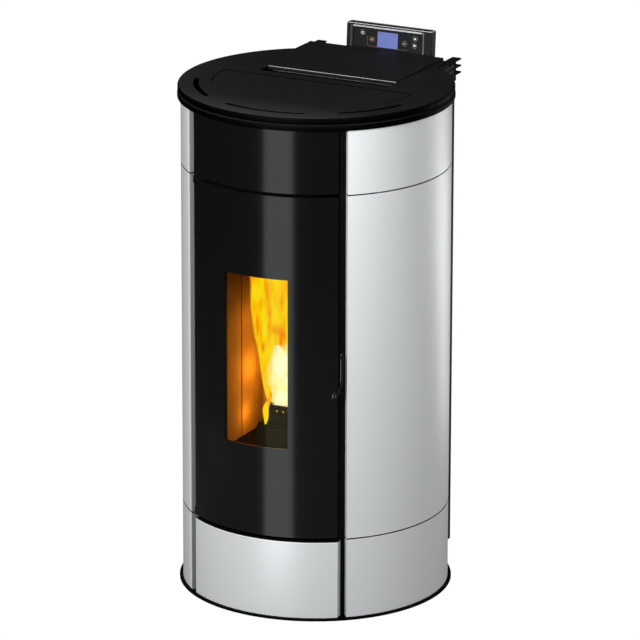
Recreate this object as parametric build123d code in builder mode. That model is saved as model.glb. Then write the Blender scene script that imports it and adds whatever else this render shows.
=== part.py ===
from build123d import *
from math import asin, cos, degrees, radians, sin, sqrt
import os

os.makedirs("parts", exist_ok=True)

# Round free-standing pellet stove, millimetres and degrees.
# The origin is on the floor, on the axis of the round casing. The door faces -Y, +X is to the right.
# Angles round the casing count from the front, positive to the right.

quarter_turn = 90.0

# Clearances
running_gap = 0.05  # radial, shafts and pins in their holes
seat_gap = 0.3  # between pieces of different bodies that rest on each other
seam_gap = 1.6  # between neighbouring casing panels
free_gap = 1.0  # around pieces that pass through an opening

# Casing
body_radius = 265.0
casing_sheet = 2.0
base_overhang = 7.0
base_radius = body_radius + base_overhang
base_thickness = 4.3
base_edge_round = 1.5
lower_seam = 166.5
upper_seam = 863.5
casing_top = 992.0
rear_face_y = 296.0
side_start_angle = 40.1
side_fold_depth = 16.0
post_inset = 16.0
post_outer_radius = body_radius - post_inset
post_sheet = 2.0
post_start_angle = 37.4
post_end_angle = 46.0
post_fold_depth = 14.0

# Levelling screws
level_spot_inset = 40.0
level_spot_radius = body_radius - level_spot_inset
level_screw_radius = 5.0
level_screw_length = 24.0
level_nut_radius = 9.0
level_nut_height = 10.0
level_socket_share = 0.55
hex_sides = 6
level_count = 4

# Front
front_half_angle = 36.3
front_sheet = 3.0
front_lower_top = 162.0
front_upper_bottom = 867.0
front_fold_depth = 18.0
door_bottom = 170.0
door_top = 860.0

# Top ring, top plate and its slots
plate_overhang = 6.0
plate_radius = body_radius + plate_overhang
ring_step = 0.6
ring_radius = plate_radius + ring_step
ring_inset = 22.0
ring_inner_radius = body_radius - ring_inset
ring_thickness = 12.4
ring_neck_inset = 1.0
ring_neck_radius = body_radius - ring_neck_inset
ring_neck_height = 1.6
disc_edge_round = 4.0
plate_thickness = 13.2
plate_skin = 5.2
plate_rim_width = 9.0
plate_rear_half_width = 160.0
plate_rear_gap = 29.0
plate_rear_reach = rear_face_y - plate_rear_gap
plate_corner_round = 4.0
slot_inset = 36.5
slot_radius = plate_radius - slot_inset
slot_width = 11.0
slot_half_angle = 20.0
side_slot_angle = 54.0
side_slot_half_angle = 16.0
groove_inset = 65.0
groove_radius = plate_radius - groove_inset
groove_width = 3.0
groove_depth = 1.5
groove_chord_y = 3.0
groove_end_angle = 64.0

# Hopper lid in the recess of the top plate
recess_depth = 9.0
lid_front_y = 66.0
lid_front_half_width = 140.0
lid_rear_half_width = 148.0
lid_pivot_inset = 7.0
lid_pivot_y = plate_rear_reach - lid_pivot_inset
lid_rear_round = 5.0
lid_front_rise = 1.0
lid_rear_rise = 5.3
lid_front_round = 3.0
lid_side_gap = 1.5
finger_pocket_reach = 34.0
lid_pivot_rise = 2.5
lid_pin_radius = 1.5
lid_pin_bite = 8.0
lid_gasket_height = 3.0
lid_gasket_width = 5.0
mouth_half_width = 130.0
mouth_front_y = 76.0
mouth_rear_room = 12.0
mouth_rear_y = lid_pivot_y - mouth_rear_room

# Rear cover and wall spacers
rear_half_width = 158.0
rear_sheet = 2.0
rear_bottom = 6.5
rear_lap = 5.0
rear_shelf_tuck = 1.0
rear_shelf_y = plate_rear_reach - rear_shelf_tuck
vent_length = 62.0
vent_height = 5.0
vent_pitch_x = 78.0
vent_pitch_z = 14.0
vent_columns = 3
vent_rows = 6
vent_center_z = 640.0
cover_screw_radius = 2.0
cover_screw_head_radius = 4.5
cover_screw_head = 2.2
cover_screw_inset = 9.0
cover_screw_rows = (60.0, 380.0, 820.0)
spacer_width = 18.0
spacer_side = 1.9
spacer_reach = 27.6
spacer_sheet = 2.0
spacer_fin = 2.5
spacer_pitch = 13.5
spacer_count = 3
spacer_drop = 7.1
spacer_clear = 3.0
spacer_front_y = plate_rear_reach + spacer_clear

# Door
window_half_angle = 15.05
window_bottom = 351.0
window_top = 694.0
hinge_inset = 6.0
hinge_radius = body_radius - hinge_inset
hinge_angle = -37.4
hinge_strap_lead = 1.2
frame_sheet = 3.0
spindle_angle = 34.9
spindle_side_room = 11.6
frame_half_width = round(body_radius * sin(radians(spindle_angle)) - spindle_side_room, 1)
view_side_margin = 48.0
view_half_width = frame_half_width - view_side_margin
frame_back_y = round(hinge_radius * cos(radians(hinge_angle)) + hinge_strap_lead, 1)
frame_inset = 4.0
view_margin = 22.0
glass_thickness = 4.0
glass_overlap = 12.0
glass_lift = 0.5
retainer_width = 16.0
retainer_sheet = 1.5
retainer_edge_gap = 0.1
gasket_width = 8.0
gasket_round = 2.5
gasket_corner = 12.0
hinge_pin_radius = 3.2
hinge_knuckle_radius = 5.0
hinge_knuckle_height = 12.0
hinge_bracket = 3.0
hinge_strap = 3.5
bracket_rim_turn = 1.0
bracket_near_turn = 1.2
bracket_far_turn = 2.4

# Handle: a thin upright lever on a spindle through the door's edge
spindle_height = 462.0
spindle_radius = 4.0
spindle_bearing_radius = 7.0
bearing_depth = 7.4
bearing_arm_half_height = 9.0
bearing_arm_reach = 10.0
bearing_arm_thickness = 4.0
lever_lift = 1.2
lever_thickness = 3.4
lever_width = 5.5
lever_offset = 12.5
lever_bend_height = 21.0
lever_length = 83.0
lever_hub_radius = 6.5
lever_edge_round = 0.8
tongue_length = 15.0
tongue_width = 7.0
tongue_thickness = 2.5
tongue_gap = 0.4

# Firebox and what stands in it
firebox_side_room = 15.0
firebox_half_width = frame_half_width - firebox_side_room
firebox_sheet = 3.0
firebox_front_gap = 6.5
firebox_front_y = firebox_front_gap - frame_back_y
firebox_back_y = 13.0
firebox_bottom = 197.0
firebox_top = 833.0
flange_reach = 11.0
flange_half_width = firebox_half_width + flange_reach
flange_margin = 13.0
shelf_height = 300.0
shelf_setback = 8.5
shelf_front_y = firebox_front_y + shelf_setback
lining_thickness = 8.0
lining_top = 790.0
lining_gap = 0.3
flue_channel = 18.0
lining_groove_pitch = 62.0
lining_groove_width = 5.0
lining_groove_depth = 1.5
lining_groove_count = 3
baffle_thickness = 4.0
baffle_setback = 50.5
baffle_front_y = firebox_front_y + baffle_setback
baffle_lip = 16.0
firebox_leg_width = 30.0

# Burn pot
pot_half_width = 45.0
pot_front_y = -130.0
pot_depth = 85.0
pot_lift = 18.0
pot_bottom = shelf_height + pot_lift
pot_rim_rise = 90.0
pot_rim = shelf_height + pot_rim_rise
pot_wall = 4.0
pot_taper = 6.0
pot_flange_rise = 50.0
pot_flange_height = shelf_height + pot_flange_rise
pot_flange_thickness = 4.0
pot_flange_reach = 11.0
pot_hole_radius = 2.5
pot_hole_pitch = 14.0
pot_hole_count = 4
support_wall = 5.0
support_margin = 14.0

# Ash pan
ash_side_room = 13.0
ash_half_width = firebox_half_width - ash_side_room
ash_setback = 10.5
ash_front_y = firebox_front_y + ash_setback
ash_rear_y = -14.0
ash_height = 60.0
ash_sheet = 1.5
ash_grip_width = 80.0
ash_grip_reach = 8.0
ash_corner = 4.0

# Hopper
hopper_half_width = 135.0
hopper_front_y = 60.0
hopper_rear_room = 8.0
hopper_rear_y = mouth_rear_y + hopper_rear_room
hopper_taper_top = 760.0
hopper_throat_top = 560.0
hopper_sheet = 1.5
hopper_lip = 8.0
throat_half_width = 25.0
throat_front_y = 105.0
throat_rear_y = 175.0

# Auger, climbing at 45 degrees to the front
auger_low_y = 190.0
auger_low_z = 405.0
auger_tilt = 45.0
auger_tube_radius = 31.0
auger_tube_wall = 3.0
auger_tube_length = 215.0
auger_flight_radius = 26.0
auger_shaft_radius = 8.0
auger_flight_thickness = 2.5
auger_pitch = 42.0
auger_turns = 4.5
auger_flight_start = 8.0
auger_inlet_start = 56.0
auger_inlet_end = 146.0
auger_outlet_start = 172.0
auger_outlet_end = 208.0
auger_stub = 16.0
gearbox_size = 62.0
gearbox_height = 50.0
gearbox_length = 34.0
gearbox_round = 4.0
motor_round = 3.0
gear_motor_radius = 26.0
gear_motor_length = 42.0

# Pellet chute, falling at 45 degrees to the front
chute_high_y = 46.0
chute_high_z = 530.0
chute_low_y = -34.0
chute_half_width = 29.0
chute_height = 48.0
chute_sheet = 2.0
chute_tilt = 45.0

# Exhaust fan under the firebox, its spigot out of the rear
exhaust_fan_x = -62.0
exhaust_fan_y = 96.0
exhaust_top = 200.0
exhaust_scroll_radius = 76.0
exhaust_height = 84.0
exhaust_wall = 3.0
exhaust_eye_radius = 32.0
exhaust_throat_y = 205.0
exhaust_wheel_radius = 60.0
exhaust_blade_height = 40.0
exhaust_blade_thickness = 2.0
exhaust_blade_count = 12
exhaust_blade_root = 2.0
exhaust_hub_radius = 14.0
exhaust_disc_thickness = 3.0
exhaust_shaft_radius = 4.0
exhaust_motor_radius = 38.0
exhaust_motor_length = 54.0
elbow_height = 60.0
spigot_radius = 40.0
spigot_wall = 2.0
spigot_x = -98.0
spigot_reach = 40.0

# Combustion air intake
intake_radius = 25.0
intake_wall = 1.5
intake_x = 62.0
intake_z = 236.0
intake_reach = 26.0

# Room-air fan
room_fan_x = 24.0
room_fan_side_room = 115.0
room_fan_length = body_radius - room_fan_side_room
room_fan_y = 108.0
room_fan_z = 92.0
room_wheel_radius = 34.0
room_blade_depth = 8.0
room_blade_thickness = 1.2
room_blade_arc = 80.0
room_blade_count = 20
room_disc_thickness = 2.0
room_shaft_radius = 3.0
room_scroll_gap = 9.0
room_scroll_sheet = 1.5
room_scroll_start = -60.0
room_scroll_sweep = 190.0
room_motor_radius = 30.0
room_motor_length = 34.0

# Igniter
igniter_rise = 34.0
igniter_z = shelf_height + igniter_rise
igniter_radius = 5.0
igniter_collar_radius = 9.0
igniter_collar_length = 14.0
igniter_rear_y = 52.0

# Electrics on the rear cover
control_box_size = (120.0, 38.0, 160.0)
control_box_side_inset = 74.0
control_box_x = rear_half_width - control_box_side_inset
control_box_z = 350.0
control_box_round = 3.0
inlet_side_inset = 40.0
inlet_x = rear_half_width - inlet_side_inset
inlet_z = 62.0
inlet_width = 47.0
inlet_body_height = 56.0
inlet_body_z = 76.0
inlet_depth = 26.0
inlet_flange = 3.0
inlet_socket_width = 24.0
inlet_socket_height = 16.0
inlet_pin_pitch = 7.0
inlet_pin_width = 1.6
inlet_pin_height = 4.0
rocker_z = 92.0
rocker_width = 22.0
rocker_height = 12.0
rocker_depth = 9.0
rocker_proud = 2.6
rocker_swing_room = 1.4
rocker_pin_radius = 1.5
rocker_pin_bite = 3.0
rocker_pivot_depth = 3.0

# Control panel behind the lid
panel_left = -71.5
panel_right = 116.8
panel_clear = 4.0
panel_front_y = plate_rear_reach + panel_clear
panel_thickness = 19.0
panel_height = 66.0
panel_lean = 4.0
panel_round = 3.0
bezel_left = -63.0
bezel_right = 100.0
bezel_margin_top = 5.0
bezel_width = 4.5
bezel_depth = 3.0
keypad_sink = 5.0
display_width = 45.0
display_height = 31.5
display_x = 17.6
display_drop = 30.2
display_thickness = 2.0
key_radius = 4.6
key_thickness = 3.0
key_proud = 0.9
key_well = 4.0
key_edge_round = 0.4
key_places = {
    "key_power": (-37.5, 20.0),
    "key_mode": (-16.5, 32.0),
    "key_set": (55.0, 32.5),
    "key_up": (78.0, 20.0),
    "key_down": (77.5, 34.6),
}


def round_casing(radius, angle):
    return (radius * sin(radians(angle)), -radius * cos(radians(angle)))


def ring_sector(outer, inner, start, end, height):
    with BuildSketch(Plane.XY.offset(height)) as sector:
        with BuildLine():
            outer_arc = CenterArc((0, 0), outer, start - quarter_turn, end - start)
            inner_arc = CenterArc((0, 0), inner, start - quarter_turn, end - start)
            Line(outer_arc @ 0, inner_arc @ 0)
            Line(outer_arc @ 1, inner_arc @ 1)
        make_face()
    return sector.sketch


def slab(x_range, y_range, z_range, mode=Mode.ADD):
    middle = [(low + high) / 2 for low, high in (x_range, y_range, z_range)]
    with Locations(tuple(middle)):
        Box(
            x_range[1] - x_range[0],
            y_range[1] - y_range[0],
            z_range[1] - z_range[0],
            mode=mode,
        )


def facing_front(y):
    return Plane.XZ.offset(-y)


def facing_right(x):
    return Plane.YZ.offset(x)


def save(builder, name):
    builder.part.label = name
    export_step(builder.part, f"parts/{name}.step")


def fold_angle(sheet, radius):
    return degrees(sheet / radius)


# Heights that follow from the stack
plate_bottom = casing_top + ring_thickness + ring_neck_height
plate_top = plate_bottom + plate_thickness
recess_floor = plate_top - recess_depth
inner_radius = body_radius - casing_sheet
side_end_angle = 180 - degrees(asin((rear_half_width + seat_gap) / inner_radius))
rear_lap_y = sqrt(inner_radius**2 - (rear_half_width + seat_gap) ** 2) - rear_lap
firebox_inner = firebox_half_width - firebox_sheet
firebox_back_inside = firebox_back_y - firebox_sheet
level_spots = PolarLocations(level_spot_radius, level_count, start_angle=45)

# Base plate with welded nuts
with BuildPart() as base_plate:
    with BuildSketch():
        Circle(base_radius)
    extrude(amount=base_thickness)
    fillet(base_plate.edges().group_by(Axis.Z)[-1], base_edge_round)
    with BuildSketch(Plane.XY.offset(base_thickness)):
        with level_spots:
            RegularPolygon(level_nut_radius, hex_sides)
    extrude(amount=level_nut_height)
    with level_spots:
        Hole(level_screw_radius + running_gap)
save(base_plate, "base_plate")

with BuildPart() as levelling_screws:
    with BuildSketch(Plane.XY.offset(seat_gap)):
        with level_spots:
            Circle(level_screw_radius)
    extrude(amount=level_screw_length)
    with BuildSketch(Plane.XY.offset(seat_gap + level_screw_length)):
        with level_spots:
            RegularPolygon(level_screw_radius * level_socket_share, hex_sides)
    extrude(amount=-level_screw_radius, mode=Mode.SUBTRACT)
save(levelling_screws, "levelling_screws")

# Front posts, behind the gaps at both sides of the door
hinge_x, hinge_y = round_casing(hinge_radius, hinge_angle)
knuckle_low = door_bottom - seat_gap
bracket_low = knuckle_low - seat_gap - hinge_bracket
bracket_high = door_top + seat_gap
for side, word in ((-1, "left"), (1, "right")):
    with BuildPart() as post:
        web = sorted((side * post_start_angle, side * post_end_angle))
        extrude(
            ring_sector(post_outer_radius, post_outer_radius - post_sheet, *web, base_thickness),
            amount=casing_top - base_thickness,
        )
        for fold in (post_start_angle, post_end_angle - fold_angle(post_sheet, post_outer_radius)):
            fold_end = fold + fold_angle(post_sheet, post_outer_radius)
            ends = sorted((side * fold, side * fold_end))
            fold_foot = post_outer_radius - post_fold_depth
            extrude(
                ring_sector(post_outer_radius, fold_foot, *ends, base_thickness),
                amount=casing_top - base_thickness,
            )
        if side < 0:
            for height in (bracket_low, bracket_high):
                with BuildSketch(Plane.XY.offset(height)):
                    with Locations((hinge_x, hinge_y)):
                        Circle(hinge_knuckle_radius)
                    with BuildLine():
                        reach = round_casing(post_outer_radius - post_sheet, hinge_angle - bracket_near_turn)
                        near = round_casing(post_outer_radius - post_sheet, hinge_angle - bracket_far_turn)
                        rim = round_casing(hinge_radius, hinge_angle - bracket_rim_turn)
                        Polyline((hinge_x, hinge_y), reach, near, rim, close=True)
                    make_face()
                extrude(amount=hinge_bracket)
            for height, rise in ((bracket_low, 1), (bracket_high + hinge_bracket, -1)):
                with BuildSketch(Plane.XY.offset(height)):
                    with Locations((hinge_x, hinge_y)):
                        Circle(hinge_pin_radius)
                extrude(amount=rise * (hinge_bracket + hinge_knuckle_height))
    save(post, f"front_post_{word}")

# Silver side panels: three curved sheets a side, the front edge folded inwards
side_levels = {
    "lower": (base_thickness, lower_seam - seam_gap / 2),
    "middle": (lower_seam + seam_gap / 2, upper_seam - seam_gap / 2),
    "upper": (upper_seam + seam_gap / 2, casing_top),
}
for side, word in ((-1, "left"), (1, "right")):
    for level, (low, high) in side_levels.items():
        with BuildPart() as side_panel:
            sheet = sorted((side * side_start_angle, side * side_end_angle))
            extrude(ring_sector(body_radius, inner_radius, *sheet, low), amount=high - low)
            fold_end = side_start_angle + fold_angle(casing_sheet, body_radius)
            ends = sorted((side * side_start_angle, side * fold_end))
            foot = body_radius - side_fold_depth
            extrude(ring_sector(body_radius, foot, *ends, low), amount=high - low)
        save(side_panel, f"side_panel_{word}_{level}")


# Front panels above and below the door, with folded top or bottom edges
def front_panel(low, high, sheet, fold_height):
    inner = body_radius - sheet
    extrude(
        ring_sector(body_radius, inner, -front_half_angle, front_half_angle, low),
        amount=high - low,
    )
    fold = body_radius - front_fold_depth
    extrude(
        ring_sector(body_radius, fold, -front_half_angle, front_half_angle, fold_height),
        amount=sheet,
    )


with BuildPart() as front_lower_panel:
    front_panel(base_thickness, front_lower_top, casing_sheet, front_lower_top - casing_sheet)
    for side in (-1, 1):
        start = front_half_angle - fold_angle(casing_sheet, body_radius)
        ends = sorted((side * start, side * front_half_angle))
        extrude(
            ring_sector(body_radius, body_radius - front_fold_depth, *ends, base_thickness),
            amount=front_lower_top - base_thickness,
        )
save(front_lower_panel, "front_lower_panel")

with BuildPart() as front_upper_panel:
    front_panel(front_upper_bottom, casing_top, front_sheet, front_upper_bottom)
save(front_upper_panel, "front_upper_panel")

# Top ring: a round-edged disc with a narrower neck, open at the rear for the rear cover
with BuildPart() as top_ring:
    notch_half_width = rear_half_width + seat_gap
    for outer, height, thickness in (
        (ring_radius, casing_top, ring_thickness),
        (ring_neck_radius, casing_top + ring_thickness, ring_neck_height),
    ):
        with BuildSketch(Plane.XY.offset(height)):
            Circle(outer)
            Circle(ring_inner_radius, mode=Mode.SUBTRACT)
            with Locations((0, ring_radius)):
                Rectangle(2 * notch_half_width, 2 * ring_radius, mode=Mode.SUBTRACT)
        extrude(amount=thickness)
    round_edges = top_ring.edges().filter_by(GeomType.CIRCLE)
    fillet([edge for edge in round_edges if edge.radius > ring_neck_radius], disc_edge_round)
save(top_ring, "top_ring")


# Top plate
def lid_outline(gap, front, rear_y):
    side = lid_front_half_width + gap
    rear = lid_rear_half_width + gap
    with BuildLine() as outline:
        Polyline(
            (-side, front),
            (side, front),
            (side, lid_front_y),
            (rear, rear_y),
            (-rear, rear_y),
            (-side, lid_front_y),
            close=True,
        )
    return outline.line


mouth_y = (mouth_front_y + mouth_rear_y) / 2
mouth_depth = mouth_rear_y - mouth_front_y
lid_bottom = recess_floor + lid_gasket_height + seat_gap
lid_pivot_z = lid_bottom + lid_pivot_rise
with BuildPart() as top_plate:
    with BuildSketch(Plane.XY.offset(plate_bottom)):
        Circle(plate_radius)
        with Locations((0, plate_rear_reach / 2)):
            RectangleRounded(2 * plate_rear_half_width, plate_rear_reach, plate_corner_round)
        with Locations((0, plate_rear_reach + plate_radius / 2)):
            Rectangle(plate_radius, plate_radius, mode=Mode.SUBTRACT)
    extrude(amount=plate_thickness)
    rims = top_plate.edges().group_by(Axis.Z)
    fillet(rims[-1] + rims[0], disc_edge_round)
    with BuildSketch(Plane.XY.offset(plate_bottom)):
        Circle(ring_neck_radius - plate_rim_width)
        with Locations((0, plate_radius)):
            clear_of_recess = lid_front_y - finger_pocket_reach - plate_rim_width
            Rectangle(2 * plate_radius, 2 * (plate_radius - clear_of_recess), mode=Mode.SUBTRACT)
    extrude(amount=plate_thickness - plate_skin, mode=Mode.SUBTRACT)
    with BuildSketch(Plane.XY.offset(plate_top)):
        add(lid_outline(lid_side_gap, lid_front_y - finger_pocket_reach, plate_rear_reach + 1))
        make_face()
    extrude(amount=-recess_depth, mode=Mode.SUBTRACT)
    with BuildSketch(Plane.XY.offset(recess_floor)):
        with Locations((0, mouth_y)):
            RectangleRounded(2 * mouth_half_width, mouth_depth, plate_corner_round)
    extrude(amount=-plate_thickness, mode=Mode.SUBTRACT)
    slot_arcs = ((0, slot_half_angle), (side_slot_angle, side_slot_half_angle))
    slot_arcs += ((-side_slot_angle, side_slot_half_angle),)
    with BuildSketch(Plane.XY.offset(plate_top)):
        for middle, half in slot_arcs:
            with BuildLine() as slot_line:
                CenterArc((0, 0), slot_radius, middle - half - quarter_turn, 2 * half)
            SlotArc(slot_line.edge(), slot_width)
    extrude(amount=-plate_thickness, mode=Mode.SUBTRACT)
    chord_half = sqrt(groove_radius**2 - groove_chord_y**2)
    with BuildSketch(Plane.XY.offset(plate_top)):
        with Locations((0, groove_chord_y)):
            Rectangle(2 * chord_half, groove_width)
    extrude(amount=-groove_depth, mode=Mode.SUBTRACT)
    for side in (-1, 1):
        ends = sorted((side * groove_end_angle, side * quarter_turn))
        groove_inner = groove_radius - groove_width
        extrude(
            ring_sector(groove_radius, groove_inner, *ends, plate_top - groove_depth),
            amount=groove_depth,
            mode=Mode.SUBTRACT,
        )
    with BuildSketch(facing_right(0)):
        with Locations((lid_pivot_y, lid_pivot_z)):
            Circle(lid_pin_radius)
    extrude(amount=plate_rear_half_width, both=True, mode=Mode.SUBTRACT)
save(top_plate, "top_plate")

# Hopper lid: rises to the rear, its rear edge rounded about the hinge axis
with BuildPart() as hopper_lid:
    with BuildSketch(facing_right(0)):
        with BuildLine():
            arc_fall = degrees(asin(lid_pivot_rise / lid_rear_round))
            rear_arc = CenterArc((lid_pivot_y, lid_pivot_z), lid_rear_round, -arc_fall, arc_fall)
            low_front = (lid_front_y, lid_bottom)
            rear = (lid_pivot_y + lid_rear_round, lid_pivot_z)
            Line(low_front, rear_arc @ 0)
            high_rear = (rear[0] - lid_front_rise, plate_top + lid_rear_rise)
            high_front = (lid_front_y, plate_top + lid_front_rise)
            Polyline(rear, high_rear, high_front, low_front)
        make_face()
    extrude(amount=lid_rear_half_width, both=True)
    nose = hopper_lid.edges().filter_by(Axis.X).sort_by(Axis.Y)[:2]
    fillet(nose.sort_by(Axis.Z)[-1], lid_front_round)
    with BuildSketch(Plane.XY.offset(lid_bottom)):
        add(lid_outline(0, lid_front_y - 1, lid_pivot_y + lid_rear_round))
        make_face()
    extrude(amount=lid_pivot_z, mode=Mode.INTERSECT)
    for side in (-1, 1):
        with BuildSketch(facing_right(side * lid_rear_half_width)):
            with Locations((lid_pivot_y, lid_pivot_z)):
                Circle(lid_pin_radius + running_gap)
        extrude(amount=-side * lid_pin_bite, mode=Mode.SUBTRACT)
save(hopper_lid, "hopper_lid")

with BuildPart() as lid_hinge_pins:
    for side in (-1, 1):
        with BuildSketch(facing_right(side * (lid_rear_half_width - lid_pin_bite + free_gap))):
            with Locations((lid_pivot_y, lid_pivot_z)):
                Circle(lid_pin_radius)
        pin_length = plate_rear_half_width - lid_rear_half_width + lid_pin_bite - 2 * free_gap
        extrude(amount=side * pin_length)
save(lid_hinge_pins, "lid_hinge_pins")

with BuildPart() as lid_gasket:
    with BuildSketch(Plane.XY.offset(lid_bottom - lid_gasket_height)):
        with Locations((0, mouth_y)):
            reach = 2 * (lid_gasket_width + free_gap)
            RectangleRounded(
                2 * mouth_half_width + reach, mouth_depth + reach, plate_corner_round + reach / 2
            )
            RectangleRounded(
                2 * (mouth_half_width + free_gap),
                mouth_depth + 2 * free_gap,
                plate_corner_round,
                mode=Mode.SUBTRACT,
            )
    extrude(amount=lid_gasket_height)
save(lid_gasket, "lid_gasket")

# Rear cover: a folded sheet box behind the casing, with a shelf on top and air slots
exhaust_bottom = exhaust_top - exhaust_height
spigot_z = exhaust_top - exhaust_height / 2
rear_inside_y = rear_face_y - rear_sheet
cover_screw_x = rear_half_width - cover_screw_inset
cover_screw_spots = [(x, z) for x in (-cover_screw_x, cover_screw_x) for z in cover_screw_rows]
with BuildPart() as rear_cover:
    with BuildSketch(Plane.XY.offset(rear_bottom)):
        with BuildLine():
            inner_half = rear_half_width - rear_sheet
            Polyline(
                (-rear_half_width, rear_lap_y),
                (-rear_half_width, rear_face_y),
                (rear_half_width, rear_face_y),
                (rear_half_width, rear_lap_y),
                (inner_half, rear_lap_y),
                (inner_half, rear_inside_y),
                (-inner_half, rear_inside_y),
                (-inner_half, rear_lap_y),
                close=True,
            )
        make_face()
    extrude(amount=plate_bottom - rear_bottom)
    slab(
        (-rear_half_width, rear_half_width),
        (rear_shelf_y, rear_face_y),
        (plate_bottom - rear_sheet, plate_bottom),
    )
    with BuildSketch(facing_front(rear_face_y)):
        with Locations((0, vent_center_z)):
            with GridLocations(vent_pitch_x, vent_pitch_z, vent_columns, vent_rows):
                SlotOverall(vent_length, vent_height)
        with Locations((spigot_x, spigot_z)):
            Circle(spigot_radius + free_gap)
        with Locations((intake_x, intake_z)):
            Circle(intake_radius + free_gap)
        with Locations((inlet_x, inlet_body_z)):
            Rectangle(inlet_width, inlet_body_height)
        with Locations(cover_screw_spots):
            Circle(cover_screw_radius + running_gap)
    extrude(amount=rear_sheet, mode=Mode.SUBTRACT)
save(rear_cover, "rear_cover")

with BuildPart() as rear_cover_screws:
    with BuildSketch(facing_front(rear_face_y)):
        with Locations(cover_screw_spots):
            Circle(cover_screw_head_radius)
    extrude(amount=-cover_screw_head)
    fillet(rear_cover_screws.edges().group_by(Axis.Y)[-1], cover_screw_head / 2)
    with BuildSketch(facing_front(rear_face_y)):
        with Locations(cover_screw_spots):
            Circle(cover_screw_radius)
    extrude(amount=3 * rear_sheet)
save(rear_cover_screws, "rear_cover_screws")

# Wall spacers: a strap with stacked fins round each top rear corner
fin_top = plate_top - spacer_drop
strap_low = fin_top - spacer_pitch * spacer_count
with BuildPart() as rear_spacers:
    for side in (-1, 1):
        inside, wall, outside = (
            side * (rear_half_width + reach) for reach in (-spacer_width, 0, spacer_side)
        )
        strap = sorted((inside, outside))
        slab(strap, (rear_face_y, rear_face_y + spacer_sheet), (strap_low, fin_top))
        for fin in range(spacer_count):
            top = fin_top - fin * spacer_pitch
            start = inside if fin == 0 else wall
            front_part = sorted((start, outside))
            slab(front_part, (spacer_front_y, rear_face_y), (top - spacer_fin, top))
            slab(strap, (rear_face_y, rear_face_y + spacer_reach), (top - spacer_fin, top))
    tips = rear_spacers.edges().filter_by(Axis.Z).group_by(Axis.Y)[-1]
    fillet(tips, spacer_fin)
save(rear_spacers, "rear_spacers")

# Door panel: one curved sheet with the window opening
spindle_plane = Plane(
    origin=(*round_casing(0, spindle_angle), spindle_height),
    x_dir=(cos(radians(spindle_angle)), sin(radians(spindle_angle)), 0),
    z_dir=(sin(radians(spindle_angle)), -cos(radians(spindle_angle)), 0),
)
with BuildPart() as door_panel:
    panel_inner = body_radius - front_sheet
    extrude(
        ring_sector(body_radius, panel_inner, -front_half_angle, front_half_angle, door_bottom),
        amount=door_top - door_bottom,
    )
    extrude(
        ring_sector(
            body_radius + 1, panel_inner - 1, -window_half_angle, window_half_angle, window_bottom
        ),
        amount=window_top - window_bottom,
        mode=Mode.SUBTRACT,
    )
    with BuildSketch(spindle_plane.offset(body_radius)):
        Circle(spindle_radius + seat_gap)
    extrude(amount=-2 * front_sheet, mode=Mode.SUBTRACT)
save(door_panel, "door_panel")

# Door frame: a shallow sheet tray behind the panel, with hinge knuckles and the spindle bearing
frame_low = door_bottom + frame_inset
frame_high = door_top - frame_inset


def frame_segment(half_width, back_y, height):
    with BuildSketch(Plane.XY.offset(height)) as segment:
        Circle(panel_inner)
        with Locations((0, -back_y - panel_inner / 2)):
            Rectangle(2 * half_width, panel_inner, mode=Mode.INTERSECT)
    return segment.sketch


with BuildPart() as door_frame:
    extrude(frame_segment(frame_half_width, frame_back_y, frame_low), amount=frame_high - frame_low)
    extrude(
        frame_segment(
            frame_half_width - frame_sheet, frame_back_y + frame_sheet, frame_low + frame_sheet
        ),
        amount=frame_high - frame_low - 2 * frame_sheet,
        mode=Mode.SUBTRACT,
    )
    view_low = window_bottom - view_margin
    view_high = window_top + view_margin
    slab(
        (-view_half_width, view_half_width),
        (-frame_back_y - 2 * frame_sheet, -frame_back_y + frame_sheet),
        (view_low, view_high),
        mode=Mode.SUBTRACT,
    )
    for knuckle_z in (knuckle_low, door_top - hinge_knuckle_height):
        with BuildSketch(Plane.XY.offset(knuckle_z)):
            with Locations((hinge_x, hinge_y)):
                Circle(hinge_knuckle_radius)
        extrude(amount=hinge_knuckle_height)
        slab(
            (hinge_x, -frame_half_width + 3 * frame_sheet),
            (-frame_back_y, -frame_back_y + hinge_strap),
            (knuckle_z, knuckle_z + hinge_knuckle_height),
        )
    with BuildSketch(Plane.XY.offset(door_bottom - 1)):
        with Locations((hinge_x, hinge_y)):
            Circle(hinge_pin_radius + running_gap)
    extrude(amount=door_top - door_bottom + 2, mode=Mode.SUBTRACT)
    arm_end = frame_half_width + bearing_arm_reach
    arm_front = sqrt(panel_inner**2 - arm_end**2) - seat_gap
    slab(
        (frame_half_width - frame_sheet, arm_end),
        (-arm_front, -arm_front + bearing_arm_thickness),
        (spindle_height - bearing_arm_half_height, spindle_height + bearing_arm_half_height),
    )
    bearing_front = panel_inner - seat_gap
    with BuildSketch(spindle_plane.offset(bearing_front)):
        Circle(spindle_bearing_radius)
    extrude(amount=-bearing_depth)
    with BuildSketch(spindle_plane.offset(bearing_front - bearing_depth)):
        Circle(tongue_width / 2 + free_gap)
    extrude(amount=-bearing_depth, mode=Mode.SUBTRACT)
    with BuildSketch(spindle_plane.offset(body_radius)):
        Circle(spindle_radius + running_gap)
    extrude(amount=-2 * bearing_depth, mode=Mode.SUBTRACT)
save(door_frame, "door_frame")

# Curved glass behind the window, held by four strips
glass_outer = panel_inner - glass_lift
glass_half_angle = window_half_angle + degrees(glass_overlap / glass_outer)
glass_low = window_bottom - glass_overlap
glass_high = window_top + glass_overlap
glass_inner = glass_outer - glass_thickness
with BuildPart() as door_glass:
    extrude(
        ring_sector(glass_outer, glass_inner, -glass_half_angle, glass_half_angle, glass_low),
        amount=glass_high - glass_low,
    )
save(door_glass, "door_glass")

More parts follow.
